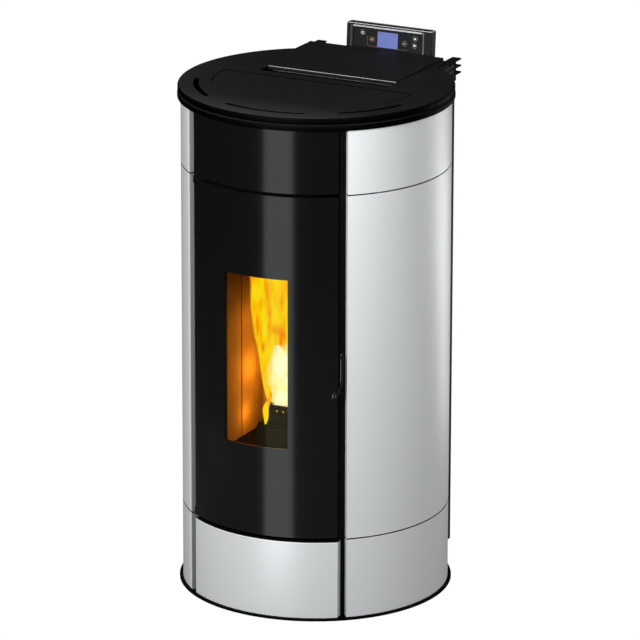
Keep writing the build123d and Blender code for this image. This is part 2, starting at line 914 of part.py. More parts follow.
with BuildPart() as glass_retainers:
    strip_outer = glass_inner
    strip_inner = glass_inner - retainer_sheet
    strip_edge = glass_half_angle + degrees(retainer_width / 2 / glass_outer)
    strip_start = strip_edge - degrees(retainer_width / glass_outer)
    strip_low = glass_low - retainer_width / 2
    strip_high = glass_high + retainer_width / 2
    for side in (-1, 1):
        ends = sorted((side * strip_start, side * strip_edge))
        extrude(
            ring_sector(strip_outer, strip_inner, *ends, strip_low),
            amount=strip_high - strip_low,
        )
        outside = sorted((side * (glass_half_angle + retainer_edge_gap), side * strip_edge))
        extrude(
            ring_sector(panel_inner, strip_inner, *outside, strip_low),
            amount=strip_high - strip_low,
        )
    for low in (strip_low, strip_high - retainer_width):
        extrude(
            ring_sector(strip_outer, strip_inner, -strip_edge, strip_edge, low),
            amount=retainer_width,
        )
save(glass_retainers, "glass_retainers")

# Rope gasket on the back of the door frame
gasket_half_width = (flange_half_width + firebox_inner) / 2
gasket_reach = -firebox_front_y
gasket_low = firebox_bottom - flange_margin + gasket_width
gasket_high = firebox_top + flange_margin - gasket_width
with BuildPart() as door_gasket:
    with BuildSketch(facing_front(-frame_back_y)):
        with Locations((0, (gasket_low + gasket_high) / 2)):
            outer_width = 2 * gasket_half_width + gasket_width
            outer_height = gasket_high - gasket_low
            RectangleRounded(outer_width, outer_height, gasket_corner)
            RectangleRounded(
                outer_width - 2 * gasket_width,
                outer_height - 2 * gasket_width,
                gasket_corner - gasket_width,
                mode=Mode.SUBTRACT,
            )
    extrude(amount=-(frame_back_y - gasket_reach - seat_gap))
    fillet(door_gasket.edges().group_by(Axis.Y)[-1], gasket_round)
save(door_gasket, "door_gasket")

# Handle lever with its spindle and the latch tongue
tongue_base = post_outer_radius + tongue_gap + free_gap / 2
lever_base = body_radius + lever_lift
with BuildPart() as handle_lever:
    with BuildSketch(spindle_plane.offset(lever_base)):
        Circle(lever_hub_radius)
        SlotCenterPoint(
            (lever_offset / 2, lever_bend_height / 2), (0, 0), lever_width
        )
        with Locations((lever_offset, (lever_bend_height + lever_length) / 2)):
            lever_run = lever_length - lever_bend_height
            SlotOverall(lever_run + lever_width, lever_width, rotation=quarter_turn)
    extrude(amount=lever_thickness)
    fillet(handle_lever.faces().sort_by(SortBy.DISTANCE)[-1].outer_wire().edges(), lever_edge_round)
    with BuildSketch(spindle_plane.offset(tongue_base)):
        Circle(spindle_radius)
    extrude(amount=lever_base - tongue_base)
    with BuildSketch(spindle_plane.offset(tongue_base)):
        SlotCenterPoint((tongue_length / 2, 0), (0, 0), tongue_width)
    extrude(amount=tongue_thickness)
save(handle_lever, "handle_lever")

# Firebox: welded steel box with a front flange and a shelf
with BuildPart() as firebox:
    slab(
        (-firebox_half_width, firebox_half_width),
        (firebox_front_y, firebox_back_y),
        (firebox_bottom, firebox_top),
    )
    slab(
        (-firebox_inner, firebox_inner),
        (firebox_front_y, firebox_back_inside),
        (firebox_bottom + firebox_sheet, firebox_top - firebox_sheet),
        mode=Mode.SUBTRACT,
    )
    with BuildSketch(facing_front(firebox_front_y)):
        with Locations((0, (firebox_bottom + firebox_top) / 2)):
            flange_height = firebox_top - firebox_bottom + 2 * flange_margin
            Rectangle(2 * flange_half_width, flange_height)
            Rectangle(
                2 * firebox_inner,
                firebox_top - firebox_bottom - 2 * firebox_sheet,
                mode=Mode.SUBTRACT,
            )
    extrude(amount=-firebox_sheet)
    slab(
        (-firebox_inner, firebox_inner),
        (shelf_front_y, firebox_back_inside - flue_channel + lining_thickness),
        (shelf_height, shelf_height + firebox_sheet),
    )
    pot_mid_y = pot_front_y + pot_depth / 2
    with Locations((0, pot_mid_y, shelf_height + firebox_sheet / 2)):
        Box(2 * pot_half_width, pot_depth, 2 * firebox_sheet, mode=Mode.SUBTRACT)
    elbow_inner = exhaust_eye_radius + firebox_sheet
    slab(
        (exhaust_fan_x - elbow_inner, exhaust_fan_x + elbow_inner),
        (firebox_back_inside - firebox_sheet, firebox_back_y),
        (exhaust_top + firebox_sheet, exhaust_top + elbow_height - firebox_sheet),
        mode=Mode.SUBTRACT,
    )
    with BuildSketch(facing_front(firebox_back_y)):
        with Locations((intake_x, intake_z)):
            Circle(intake_radius)
        with Locations((0, igniter_z)):
            Circle(igniter_radius + running_gap)
    extrude(amount=firebox_sheet, mode=Mode.SUBTRACT)

# Four feet under the firebox and the smoke elbow behind it
with BuildPart() as firebox_legs:
    leg_inner = firebox_half_width - firebox_leg_width
    for x_range in ((-firebox_half_width, -leg_inner), (leg_inner, firebox_half_width)):
        for y in (firebox_front_y + firebox_leg_width, firebox_back_y - firebox_leg_width):
            slab(x_range, (y, y + firebox_sheet), (base_thickness, firebox_bottom))
save(firebox_legs, "firebox_legs")

with BuildPart() as smoke_elbow:
    elbow_half = elbow_inner + firebox_sheet
    elbow_back_y = exhaust_fan_y + elbow_half
    slab(
        (exhaust_fan_x - elbow_half, exhaust_fan_x + elbow_half),
        (firebox_back_y, elbow_back_y),
        (exhaust_top, exhaust_top + elbow_height),
    )
    slab(
        (exhaust_fan_x - elbow_inner, exhaust_fan_x + elbow_inner),
        (firebox_back_y, elbow_back_y - firebox_sheet),
        (exhaust_top + firebox_sheet, exhaust_top + elbow_height - firebox_sheet),
        mode=Mode.SUBTRACT,
    )
    with BuildSketch(Plane.XY.offset(exhaust_top)):
        with Locations((exhaust_fan_x, exhaust_fan_y)):
            Circle(exhaust_eye_radius)
    extrude(amount=firebox_sheet, mode=Mode.SUBTRACT)
save(smoke_elbow, "smoke_elbow")

# Pellet chute through the back wall
chute_fall = radians(chute_tilt)
chute_plane = Plane(
    origin=(0, chute_high_y, chute_high_z), x_dir=(1, 0, 0), z_dir=(0, -cos(chute_fall), -sin(chute_fall))
)
chute_length = (chute_high_y - chute_low_y) / cos(chute_fall)
auger_run = radians(auger_tilt)
auger_plane = Plane(
    origin=(0, auger_low_y, auger_low_z), x_dir=(1, 0, 0), z_dir=(0, -cos(auger_run), sin(auger_run))
)
with firebox:
    with BuildSketch(chute_plane):
        Rectangle(2 * chute_half_width, chute_height)
    extrude(amount=chute_length, mode=Mode.SUBTRACT)
save(firebox, "firebox")

with BuildPart() as pellet_chute:
    with BuildSketch(chute_plane):
        Rectangle(2 * chute_half_width, chute_height)
        Rectangle(
            2 * (chute_half_width - chute_sheet), chute_height - 2 * chute_sheet, mode=Mode.SUBTRACT
        )
    extrude(amount=chute_length)
    with BuildSketch(auger_plane):
        Circle(auger_tube_radius)
    extrude(amount=auger_tube_length, mode=Mode.SUBTRACT)
save(pellet_chute, "pellet_chute")

# Lining plates with upright grooves
lining_floor = shelf_height + firebox_sheet
lining_height = lining_top - lining_floor
back_lining_y = firebox_back_inside - flue_channel
lining_middle_z = lining_floor + lining_height / 2
with BuildPart() as side_linings:
    for side in (-1, 1):
        outside = firebox_inner - lining_gap
        x_range = sorted((side * outside, side * (outside - lining_thickness)))
        slab(x_range, (shelf_front_y, back_lining_y), (lining_floor, lining_top))
        with BuildSketch(facing_right(side * (outside - lining_thickness))):
            with Locations(((shelf_front_y + back_lining_y) / 2, lining_middle_z)):
                with GridLocations(lining_groove_pitch, 1, lining_groove_count, 1):
                    Rectangle(lining_groove_width, lining_height)
        extrude(amount=side * lining_groove_depth, mode=Mode.SUBTRACT)
save(side_linings, "side_linings")

with BuildPart() as lining_back:
    back_half = firebox_inner - lining_gap
    slab(
        (-back_half, back_half),
        (back_lining_y, back_lining_y + lining_thickness),
        (lining_floor, lining_top),
    )
    with BuildSketch(facing_front(back_lining_y)):
        with Locations((0, lining_middle_z)):
            with GridLocations(lining_groove_pitch, 1, lining_groove_count, 1):
                Rectangle(lining_groove_width, lining_height)
    extrude(amount=-lining_groove_depth, mode=Mode.SUBTRACT)
    with BuildSketch(chute_plane):
        Rectangle(2 * (chute_half_width + lining_gap), chute_height + 2 * lining_gap)
    extrude(amount=chute_length, mode=Mode.SUBTRACT)
    with BuildSketch(facing_front(back_lining_y)):
        with Locations((0, igniter_z)):
            Circle(igniter_radius + lining_gap)
    extrude(amount=-lining_thickness, mode=Mode.SUBTRACT)
save(lining_back, "lining_back")

with BuildPart() as baffle_plate:
    with BuildSketch(facing_right(0)):
        with BuildLine():
            Polyline(
                (back_lining_y + lining_thickness, lining_top),
                (baffle_front_y, lining_top),
                (baffle_front_y - baffle_lip, lining_top - baffle_lip),
                (baffle_front_y - baffle_lip, lining_top - baffle_lip + baffle_thickness * sqrt(2)),
                (baffle_front_y - baffle_thickness * (sqrt(2) - 1), lining_top + baffle_thickness),
                (back_lining_y + lining_thickness, lining_top + baffle_thickness),
                close=True,
            )
        make_face()
    extrude(amount=firebox_inner - lining_thickness - 2 * lining_gap, both=True)
    slab(
        (-firebox_inner + lining_gap, firebox_inner - lining_gap),
        (baffle_front_y, back_lining_y + lining_thickness),
        (lining_top, lining_top + baffle_thickness),
    )
save(baffle_plate, "baffle_plate")

# Burn pot: a tapered cast cup with a flange and air holes, on its support
with BuildPart() as burn_pot:
    pot_outer_width = 2 * pot_half_width
    with BuildSketch(Plane.XY.offset(pot_bottom)):
        with Locations((0, pot_mid_y)):
            Rectangle(pot_outer_width - 2 * pot_taper, pot_depth - 2 * pot_taper)
    with BuildSketch(Plane.XY.offset(pot_rim)):
        with Locations((0, pot_mid_y)):
            Rectangle(pot_outer_width, pot_depth)
    loft()
    offset(amount=-pot_wall, openings=burn_pot.faces().sort_by(Axis.Z)[-1])
    with BuildSketch(Plane.XY.offset(pot_flange_height)):
        with Locations((0, pot_mid_y)):
            flange_width = pot_outer_width + 2 * pot_flange_reach
            Rectangle(flange_width, pot_depth + 2 * pot_flange_reach)
            hollow = pot_outer_width - 2 * pot_taper
            Rectangle(hollow, pot_depth - 2 * pot_taper, mode=Mode.SUBTRACT)
    extrude(amount=pot_flange_thickness)
    with BuildSketch(Plane.XY.offset(pot_bottom)):
        with Locations((0, pot_mid_y)):
            with GridLocations(pot_hole_pitch, pot_hole_pitch, pot_hole_count, pot_hole_count):
                Circle(pot_hole_radius)
    extrude(amount=pot_wall, mode=Mode.SUBTRACT)
    with BuildSketch(facing_front(pot_front_y - pot_taper)):
        with Locations((0, pot_flange_height + 2 * pot_hole_pitch)):
            with GridLocations(pot_hole_pitch, 1, pot_hole_count, 1):
                Circle(pot_hole_radius)
    extrude(amount=-(pot_depth + 2 * pot_taper), mode=Mode.SUBTRACT)
save(burn_pot, "burn_pot")

support_top = pot_flange_height - seat_gap
with BuildPart() as pot_support:
    with BuildSketch(Plane.XY.offset(lining_floor)):
        with Locations((0, pot_mid_y)):
            support_width = 2 * (pot_half_width + support_margin)
            support_depth = pot_depth + 2 * support_margin
            RectangleRounded(support_width, support_depth, support_wall)
            Rectangle(
                support_width - 2 * support_wall, support_depth - 2 * support_wall, mode=Mode.SUBTRACT
            )
    extrude(amount=support_top - lining_floor)
    with BuildSketch(Plane.XY.offset(support_top)):
        with Locations((0, pot_mid_y)):
            RectangleRounded(support_width, support_depth, support_wall)
            Rectangle(pot_outer_width + 2 * free_gap, pot_depth + 2 * free_gap, mode=Mode.SUBTRACT)
    extrude(amount=-support_wall)
    with BuildSketch(facing_front(pot_front_y + pot_depth + support_margin)):
        with Locations((0, igniter_z)):
            Circle(igniter_radius + free_gap)
    extrude(amount=support_wall + 1, mode=Mode.SUBTRACT)
save(pot_support, "pot_support")

# Ash pan: an open folded tray with a grip
with BuildPart() as ash_pan:
    ash_floor = firebox_bottom + firebox_sheet
    with BuildSketch(Plane.XY.offset(ash_floor)):
        with Locations((0, (ash_front_y + ash_rear_y) / 2)):
            RectangleRounded(2 * ash_half_width, ash_rear_y - ash_front_y, ash_corner)
    extrude(amount=ash_height)
    offset(amount=-ash_sheet, openings=ash_pan.faces().sort_by(Axis.Z)[-1])
    grip_z = ash_floor + ash_height
    slab(
        (-ash_grip_width / 2, ash_grip_width / 2),
        (ash_front_y - ash_grip_reach, ash_front_y + ash_sheet),
        (grip_z - ash_sheet, grip_z),
    )
    slab(
        (-ash_grip_width / 2, ash_grip_width / 2),
        (ash_front_y - ash_grip_reach, ash_front_y - ash_grip_reach + ash_sheet),
        (grip_z - 2 * ash_grip_reach, grip_z),
    )
save(ash_pan, "ash_pan")

# Hopper: straight walls, a taper and a throat that saddles the auger tube
hopper_top = plate_bottom
hopper_mid_y = (hopper_front_y + hopper_rear_y) / 2
hopper_depth = hopper_rear_y - hopper_front_y
throat_mid_y = (throat_front_y + throat_rear_y) / 2
throat_depth = throat_rear_y - throat_front_y


def hopper_level(height, half_width, depth, middle, inset):
    with BuildSketch(Plane.XY.offset(height)) as level:
        with Locations((0, middle)):
            Rectangle(2 * (half_width - inset), depth - 2 * inset)
    return level.sketch


with BuildPart() as hopper:
    for inset, mode in ((0, Mode.ADD), (hopper_sheet, Mode.SUBTRACT)):
        belt = hopper_level(hopper_taper_top, hopper_half_width, hopper_depth, hopper_mid_y, inset)
        throat = hopper_level(hopper_throat_top, throat_half_width, throat_depth, throat_mid_y, inset)
        extrude(belt, amount=hopper_top - hopper_taper_top, mode=mode)
        loft([throat, belt], mode=mode)
        extrude(throat, amount=auger_low_z - hopper_throat_top, mode=mode)
    with BuildSketch(Plane.XY.offset(hopper_top)):
        with Locations((0, hopper_mid_y)):
            Rectangle(2 * (hopper_half_width + hopper_lip), hopper_depth)
            Rectangle(2 * hopper_half_width, hopper_depth, mode=Mode.SUBTRACT)
    extrude(amount=-hopper_sheet)
    with BuildSketch(auger_plane.offset(-auger_tube_length)):
        Circle(auger_tube_radius)
        with Locations((0, -auger_tube_length / 2)):
            Rectangle(auger_tube_length, auger_tube_length)
    extrude(amount=3 * auger_tube_length, mode=Mode.SUBTRACT)
save(hopper, "hopper")

# Auger tube, open above under the throat and below over the chute
with BuildPart() as auger_tube:
    with BuildSketch(auger_plane):
        Circle(auger_tube_radius)
    extrude(amount=auger_tube_length)
    with BuildSketch(auger_plane.offset(auger_tube_wall)):
        Circle(auger_tube_radius - auger_tube_wall)
    extrude(amount=auger_tube_length - 2 * auger_tube_wall, mode=Mode.SUBTRACT)
    windows = (
        (auger_inlet_start, auger_inlet_end, 1),
        (auger_outlet_start, auger_outlet_end, -1),
    )
    for window_start, window_end, up in windows:
        with BuildSketch(auger_plane.offset(window_start)):
            with Locations((0, up * auger_tube_radius)):
                Rectangle(2 * (auger_flight_radius - auger_tube_wall), 2 * auger_flight_radius)
        extrude(amount=window_end - window_start, mode=Mode.SUBTRACT)
    with BuildSketch(auger_plane.offset(-1)):
        Circle(auger_shaft_radius + running_gap)
    extrude(amount=auger_tube_wall + 2, mode=Mode.SUBTRACT)
save(auger_tube, "auger_tube")

# Auger: a helical flight round its shaft
with BuildPart() as auger_along_z:
    with BuildLine() as flight_path:
        Helix(auger_pitch, auger_pitch * auger_turns, auger_shaft_radius, (0, 0, auger_flight_start))
    with BuildSketch(Plane.XZ):
        flight_depth = auger_flight_radius - auger_shaft_radius + 1
        with Locations((auger_shaft_radius - 1 + flight_depth / 2, auger_flight_start)):
            Rectangle(flight_depth, auger_flight_thickness)
    sweep(path=flight_path.line, is_frenet=True)
    with BuildSketch(Plane.XY.offset(-auger_stub)):
        Circle(auger_shaft_radius)
    shaft_end = auger_tube_length - auger_tube_wall - free_gap
    extrude(amount=shaft_end + auger_stub)
auger = auger_along_z.part.moved(auger_plane.location)
auger.label = "auger"
export_step(auger, "parts/auger.step")

with BuildPart() as auger_gearmotor:
    with BuildSketch(auger_plane.offset(-seat_gap)):
        RectangleRounded(gearbox_size, gearbox_height, gearbox_round)
    extrude(amount=-gearbox_length)
    with BuildSketch(auger_plane.offset(-seat_gap - gearbox_length)):
        Circle(gear_motor_radius)
    extrude(amount=-gear_motor_length)
    fillet(auger_gearmotor.faces().sort_by(Axis.Z)[0].outer_wire().edges(), motor_round)
    with BuildSketch(auger_plane):
        Circle(auger_shaft_radius + running_gap)
    extrude(amount=-auger_stub - free_gap, mode=Mode.SUBTRACT)
save(auger_gearmotor, "auger_gearmotor")

# Exhaust fan: scroll housing with a tangential throat to the rear
fan_plane = Plane(origin=(exhaust_fan_x, exhaust_fan_y, exhaust_bottom))
throat_half = exhaust_height / 2


def scroll_outline(inset):
    with BuildSketch(fan_plane.offset(inset)) as scroll:
        Circle(exhaust_scroll_radius - inset)
        throat_x = spigot_x - exhaust_fan_x
        throat_run = exhaust_throat_y - exhaust_fan_y
        with Locations((throat_x, throat_run / 2)):
            Rectangle(2 * (throat_half - inset), throat_run)
    return scroll.sketch


with BuildPart() as exhaust_fan_housing:
    extrude(scroll_outline(0), amount=exhaust_height)
    extrude(
        scroll_outline(exhaust_wall), amount=exhaust_height - 2 * exhaust_wall, mode=Mode.SUBTRACT
    )
    with BuildSketch(fan_plane.offset(exhaust_height - exhaust_wall)):
        Circle(exhaust_eye_radius)
    extrude(amount=exhaust_wall, mode=Mode.SUBTRACT)
    with BuildSketch(fan_plane):
        Circle(exhaust_shaft_radius + running_gap)
    extrude(amount=exhaust_wall, mode=Mode.SUBTRACT)
save(exhaust_fan_housing, "exhaust_fan_housing")

with BuildPart() as exhaust_fan_wheel:
    wheel_base = (exhaust_height - exhaust_blade_height) / 2
    with BuildSketch(fan_plane.offset(wheel_base)):
        Circle(exhaust_wheel_radius)
    extrude(amount=exhaust_disc_thickness)
    with BuildSketch(fan_plane.offset(wheel_base)):
        Circle(exhaust_hub_radius)
    extrude(amount=exhaust_blade_height / 2)
    with BuildSketch(fan_plane.offset(wheel_base)):
        blade_run = exhaust_wheel_radius - exhaust_hub_radius
        with PolarLocations(exhaust_hub_radius + blade_run / 2 - exhaust_blade_root, exhaust_blade_count):
            Rectangle(blade_run, exhaust_blade_thickness)
    extrude(amount=exhaust_blade_height)
    with BuildSketch(fan_plane.offset(-exhaust_shaft_radius)):
        Circle(exhaust_shaft_radius)
    extrude(amount=exhaust_shaft_radius + wheel_base)
save(exhaust_fan_wheel, "exhaust_fan_wheel")

with BuildPart() as exhaust_fan_motor:
    with BuildSketch(fan_plane):
        Circle(exhaust_motor_radius)
    extrude(amount=-exhaust_motor_length)
    fillet(exhaust_fan_motor.edges().group_by(Axis.Z)[0], motor_round)
    with BuildSketch(fan_plane):
        Circle(exhaust_shaft_radius + running_gap)
    extrude(amount=-exhaust_shaft_radius - free_gap, mode=Mode.SUBTRACT)
save(exhaust_fan_motor, "exhaust_fan_motor")

# Exhaust spigot with a rolled bead, round tube on a square flange
with BuildPart() as exhaust_spigot:
    spigot_end = rear_face_y + spigot_reach
    with BuildSketch(facing_front(exhaust_throat_y)):
        with Locations((spigot_x, spigot_z)):
            Rectangle(2 * throat_half, 2 * throat_half)
    extrude(amount=-exhaust_wall)
    with BuildSketch(facing_front(exhaust_throat_y)):
        with Locations((spigot_x, spigot_z)):
            Circle(spigot_radius)
    extrude(amount=-(spigot_end - exhaust_throat_y))
    with BuildSketch(facing_front(exhaust_throat_y)):
        with Locations((spigot_x, spigot_z)):
            Circle(spigot_radius - spigot_wall)
    extrude(amount=-(spigot_end - exhaust_throat_y), mode=Mode.SUBTRACT)
save(exhaust_spigot, "exhaust_spigot")

with BuildPart() as air_intake_tube:
    intake_end = rear_face_y + intake_reach
    with BuildSketch(facing_front(firebox_back_y)):
        with Locations((intake_x, intake_z)):
            Circle(intake_radius + 3 * intake_wall)
    extrude(amount=-intake_wall)
    with BuildSketch(facing_front(firebox_back_y)):
        with Locations((intake_x, intake_z)):
            Circle(intake_radius)
    extrude(amount=-(intake_end - firebox_back_y))
    with BuildSketch(facing_front(firebox_back_y)):
        with Locations((intake_x, intake_z)):
            Circle(intake_radius - intake_wall)
    extrude(amount=-(intake_end - firebox_back_y), mode=Mode.SUBTRACT)
save(air_intake_tube, "air_intake_tube")

# Room-air fan: a drum of curved blades in a scroll open to the front and below
room_center = (room_fan_y, room_fan_z)
scroll_inner = room_wheel_radius + room_scroll_gap
with BuildPart() as room_fan_wheel:
    with BuildLine(Plane.XY, mode=Mode.PRIVATE) as blade_arc:
        CenterArc((0, 0), room_blade_depth, -room_blade_arc / 2, room_blade_arc)
    with BuildSketch(facing_right(room_fan_x)):
        with Locations(room_center):
            with PolarLocations(room_wheel_radius - room_blade_depth, room_blade_count):
                SlotArc(blade_arc.edge(), room_blade_thickness)
    extrude(amount=room_fan_length)
    for disc_x in (room_fan_x, room_fan_x + room_fan_length - room_disc_thickness):
        with BuildSketch(facing_right(disc_x)):
            with Locations(room_center):
                Circle(room_wheel_radius)
        extrude(amount=room_disc_thickness)
    shaft_reach = room_scroll_gap + room_shaft_radius
    with BuildSketch(facing_right(room_fan_x - shaft_reach)):
        with Locations(room_center):
            Circle(room_shaft_radius)
    extrude(amount=shaft_reach + room_disc_thickness)
    with BuildSketch(facing_right(room_fan_x + room_fan_length - room_disc_thickness)):
        with Locations(room_center):
            Circle(room_shaft_radius)
    extrude(amount=room_disc_thickness + shaft_reach + room_shaft_radius)
save(room_fan_wheel, "room_fan_wheel")

with BuildPart() as room_fan_housing:
    cheek_low_x = room_fan_x - room_scroll_gap
    cheek_high_x = room_fan_x + room_fan_length + room_scroll_gap
    scroll_width = cheek_high_x - cheek_low_x
    wrap = (room_scroll_start, room_scroll_sweep)
    foot_z = base_thickness
    for cheek_x in (cheek_low_x, cheek_high_x - room_scroll_sheet):
        with BuildSketch(facing_right(cheek_x)):
            with Locations(room_center):
                Circle(scroll_inner + room_scroll_sheet)
            with Locations((room_fan_y, (room_fan_z + foot_z) / 2)):
                Rectangle(2 * room_wheel_radius, room_fan_z - foot_z)
            with Locations(room_center):
                Circle(room_shaft_radius + running_gap, mode=Mode.SUBTRACT)
        extrude(amount=room_scroll_sheet)
    with BuildSketch(facing_right(cheek_low_x)):
        with BuildLine():
            outer_wrap = CenterArc(room_center, scroll_inner + room_scroll_sheet, *wrap)
            inner_wrap = CenterArc(room_center, scroll_inner, *wrap)
            Line(outer_wrap @ 0, inner_wrap @ 0)
            Line(outer_wrap @ 1, inner_wrap @ 1)
        make_face()
    extrude(amount=scroll_width)
save(room_fan_housing, "room_fan_housing")

with BuildPart() as room_fan_motor:
    with BuildSketch(facing_right(cheek_high_x)):
        with Locations(room_center):
            Circle(room_motor_radius)
    extrude(amount=room_motor_length)
    fillet(room_fan_motor.edges().group_by(Axis.X)[-1], motor_round)
    with BuildSketch(facing_right(cheek_high_x)):
        with Locations(room_center):
            Circle(room_shaft_radius + running_gap)
    extrude(amount=2 * room_shaft_radius + free_gap, mode=Mode.SUBTRACT)
save(room_fan_motor, "room_fan_motor")

# Igniter cartridge through the back wall, pointing at the pot
with BuildPart() as igniter:
    igniter_tip_y = pot_front_y + pot_depth + free_gap
    with BuildSketch(facing_front(igniter_rear_y)):
        with Locations((0, igniter_z)):
            Circle(igniter_radius)
    extrude(amount=igniter_rear_y - igniter_tip_y)
    with BuildSketch(facing_front(firebox_back_y)):
        with Locations((0, igniter_z)):
            Circle(igniter_collar_radius)
    extrude(amount=-igniter_collar_length)
save(igniter, "igniter")

# Control electronics in a box inside the rear cover
with BuildPart() as control_box:
    box_width, box_depth, box_height = control_box_size
    with BuildSketch(facing_front(rear_inside_y)):
        with Locations((control_box_x, control_box_z)):
            RectangleRounded(box_width, box_height, 2 * control_box_round)
    extrude(amount=box_depth)
    fillet(control_box.faces().sort_by(Axis.Y)[0].outer_wire().edges(), control_box_round)
save(control_box, "control_box")

with BuildPart() as power_inlet:
    inlet_face_y = rear_face_y + inlet_flange
    with BuildSketch(facing_front(rear_face_y)):
        with Locations((inlet_x, inlet_body_z)):
            Rectangle(inlet_width, inlet_body_height)
    extrude(amount=inlet_depth)
    with BuildSketch(facing_front(rear_face_y)):
        with Locations((inlet_x, inlet_body_z)):
            flange_width = inlet_width + 2 * inlet_flange
            RectangleRounded(flange_width, inlet_body_height + 2 * inlet_flange, inlet_flange)
    extrude(amount=-inlet_flange)
    with BuildSketch(facing_front(inlet_face_y)):
        with Locations((inlet_x, inlet_z)):
            RectangleRounded(inlet_socket_width, inlet_socket_height, inlet_flange)
        with Locations((inlet_x, rocker_z)):
            Rectangle(rocker_width + 2 * seat_gap, rocker_height + 2 * rocker_swing_room)
    extrude(amount=inlet_depth - 2 * inlet_flange, mode=Mode.SUBTRACT)
    with BuildSketch(facing_front(rear_face_y)):
        with Locations((inlet_x, inlet_z)):
            with GridLocations(inlet_pin_pitch, 1, 3, 1):
                Rectangle(inlet_pin_width, inlet_pin_height)
    extrude(amount=inlet_depth - inlet_flange)
    rocker_pivot_y = inlet_face_y - rocker_pivot_depth
    with BuildSketch(facing_right(inlet_x)):
        with Locations((rocker_pivot_y, rocker_z)):
            Circle(rocker_pin_radius + running_gap)
    pin_reach = rocker_width / 2 + rocker_pin_bite
    extrude(amount=pin_reach + seat_gap, both=True, mode=Mode.SUBTRACT)
save(power_inlet, "power_inlet")

with BuildPart() as rocker_switch:
    with BuildSketch(facing_right(inlet_x)):
        with BuildLine():
            rocker_back = inlet_face_y - rocker_depth
            half = rocker_height / 2
            Polyline(
                (inlet_face_y, rocker_z - half),
                (rocker_back, rocker_z - half / 2),
                (rocker_back, rocker_z + half / 2),
                (inlet_face_y, rocker_z + half),
            )
            ThreePointArc(
                (inlet_face_y, rocker_z + half),
                (inlet_face_y + rocker_proud, rocker_z),
                (inlet_face_y, rocker_z - half),
            )
        make_face()
    extrude(amount=rocker_width / 2, both=True)
    with BuildSketch(facing_right(inlet_x)):
        with Locations((rocker_pivot_y, rocker_z)):
            Circle(rocker_pin_radius)
    extrude(amount=pin_reach, both=True)
save(rocker_switch, "rocker_switch")

# Control panel on the rear cover's shelf, leaning back
lean = radians(panel_lean)
panel_face = Plane(
    origin=((panel_left + panel_right) / 2, panel_front_y, plate_bottom),
    x_dir=(1, 0, 0),
    z_dir=(0, -cos(lean), sin(lean)),
)
panel_outward = Axis(panel_face.origin, panel_face.z_dir)
panel_width = panel_right - panel_left
panel_mid = panel_height / 2
bezel_middle = ((bezel_left + bezel_right) / 2 - panel_face.origin.X, panel_mid)
bezel_outer = (bezel_right - bezel_left, panel_height - 2 * bezel_margin_top)
bezel_inner = (bezel_outer[0] - 2 * bezel_width, bezel_outer[1] - 2 * bezel_width)
with BuildPart() as panel_housing:
    with BuildSketch(panel_face):
        with Locations((0, panel_mid)):
            RectangleRounded(panel_width, panel_height, panel_round)
    extrude(amount=-panel_thickness)
    fillet(panel_housing.faces().sort_by(panel_outward)[-1].outer_wire().edges(), panel_round / 2)
    with BuildSketch(panel_face):
        with Locations(bezel_middle):
            Rectangle(*bezel_outer)
    extrude(amount=-bezel_depth, mode=Mode.SUBTRACT)
    with BuildSketch(panel_face):
        with Locations(bezel_middle):
            Rectangle(*bezel_inner)
    extrude(amount=-keypad_sink, mode=Mode.SUBTRACT)
    with BuildSketch(panel_face.offset(-keypad_sink)):
        with Locations((display_x - panel_face.origin.X, panel_height - display_drop)):
            Rectangle(display_width, display_height)
    extrude(amount=-display_thickness, mode=Mode.SUBTRACT)
    with BuildSketch(panel_face.offset(-keypad_sink)):
        for key_x, key_drop in key_places.values():
            with Locations((key_x - panel_face.origin.X, panel_height - key_drop)):
                Circle(key_radius + seat_gap)
    extrude(amount=-key_well, mode=Mode.SUBTRACT)
    slab(
        (panel_left, panel_right),
        (panel_front_y, panel_front_y + 2 * panel_thickness),
        (plate_bottom - panel_height, plate_bottom),
        mode=Mode.SUBTRACT,
    )
save(panel_housing, "panel_housing")

with BuildPart() as panel_bezel:
    with BuildSketch(panel_face.offset(-bezel_depth)):
        with Locations(bezel_middle):
            Rectangle(*bezel_outer)
            Rectangle(*bezel_inner, mode=Mode.SUBTRACT)
    extrude(amount=bezel_depth)
    chamfer(panel_bezel.faces().sort_by(panel_outward)[-1].inner_wires().edges(), bezel_depth / 2)
save(panel_bezel, "panel_bezel")

with BuildPart() as display_window:
    with BuildSketch(panel_face.offset(-keypad_sink - display_thickness)):
        with Locations((display_x - panel_face.origin.X, panel_height - display_drop)):
            Rectangle(display_width, display_height)
    extrude(amount=display_thickness)
save(display_window, "display_window")

for name, (key_x, key_drop) in key_places.items():
    with BuildPart() as key:
        with BuildSketch(panel_face.offset(key_proud - keypad_sink)):
            with Locations((key_x - panel_face.origin.X, panel_height - key_drop)):
                Circle(key_radius)
        extrude(amount=-key_thickness)
        fillet(key.edges().group_by(Axis.Y)[0], key_edge_round)
    save(key, name)
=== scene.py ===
import bpy
import math
import random
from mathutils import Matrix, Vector


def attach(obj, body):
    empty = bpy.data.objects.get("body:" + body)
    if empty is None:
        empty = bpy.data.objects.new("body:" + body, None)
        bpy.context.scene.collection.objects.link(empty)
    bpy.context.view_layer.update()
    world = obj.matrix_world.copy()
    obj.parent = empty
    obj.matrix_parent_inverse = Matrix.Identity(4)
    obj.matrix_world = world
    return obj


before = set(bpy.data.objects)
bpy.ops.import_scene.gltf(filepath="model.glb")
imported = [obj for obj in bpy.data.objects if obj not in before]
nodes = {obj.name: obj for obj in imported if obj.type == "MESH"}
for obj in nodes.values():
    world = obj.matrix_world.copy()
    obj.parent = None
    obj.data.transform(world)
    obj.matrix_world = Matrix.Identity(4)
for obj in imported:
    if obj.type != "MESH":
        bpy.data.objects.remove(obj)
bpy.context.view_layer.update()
print("frame loaded:", len(nodes), "nodes")

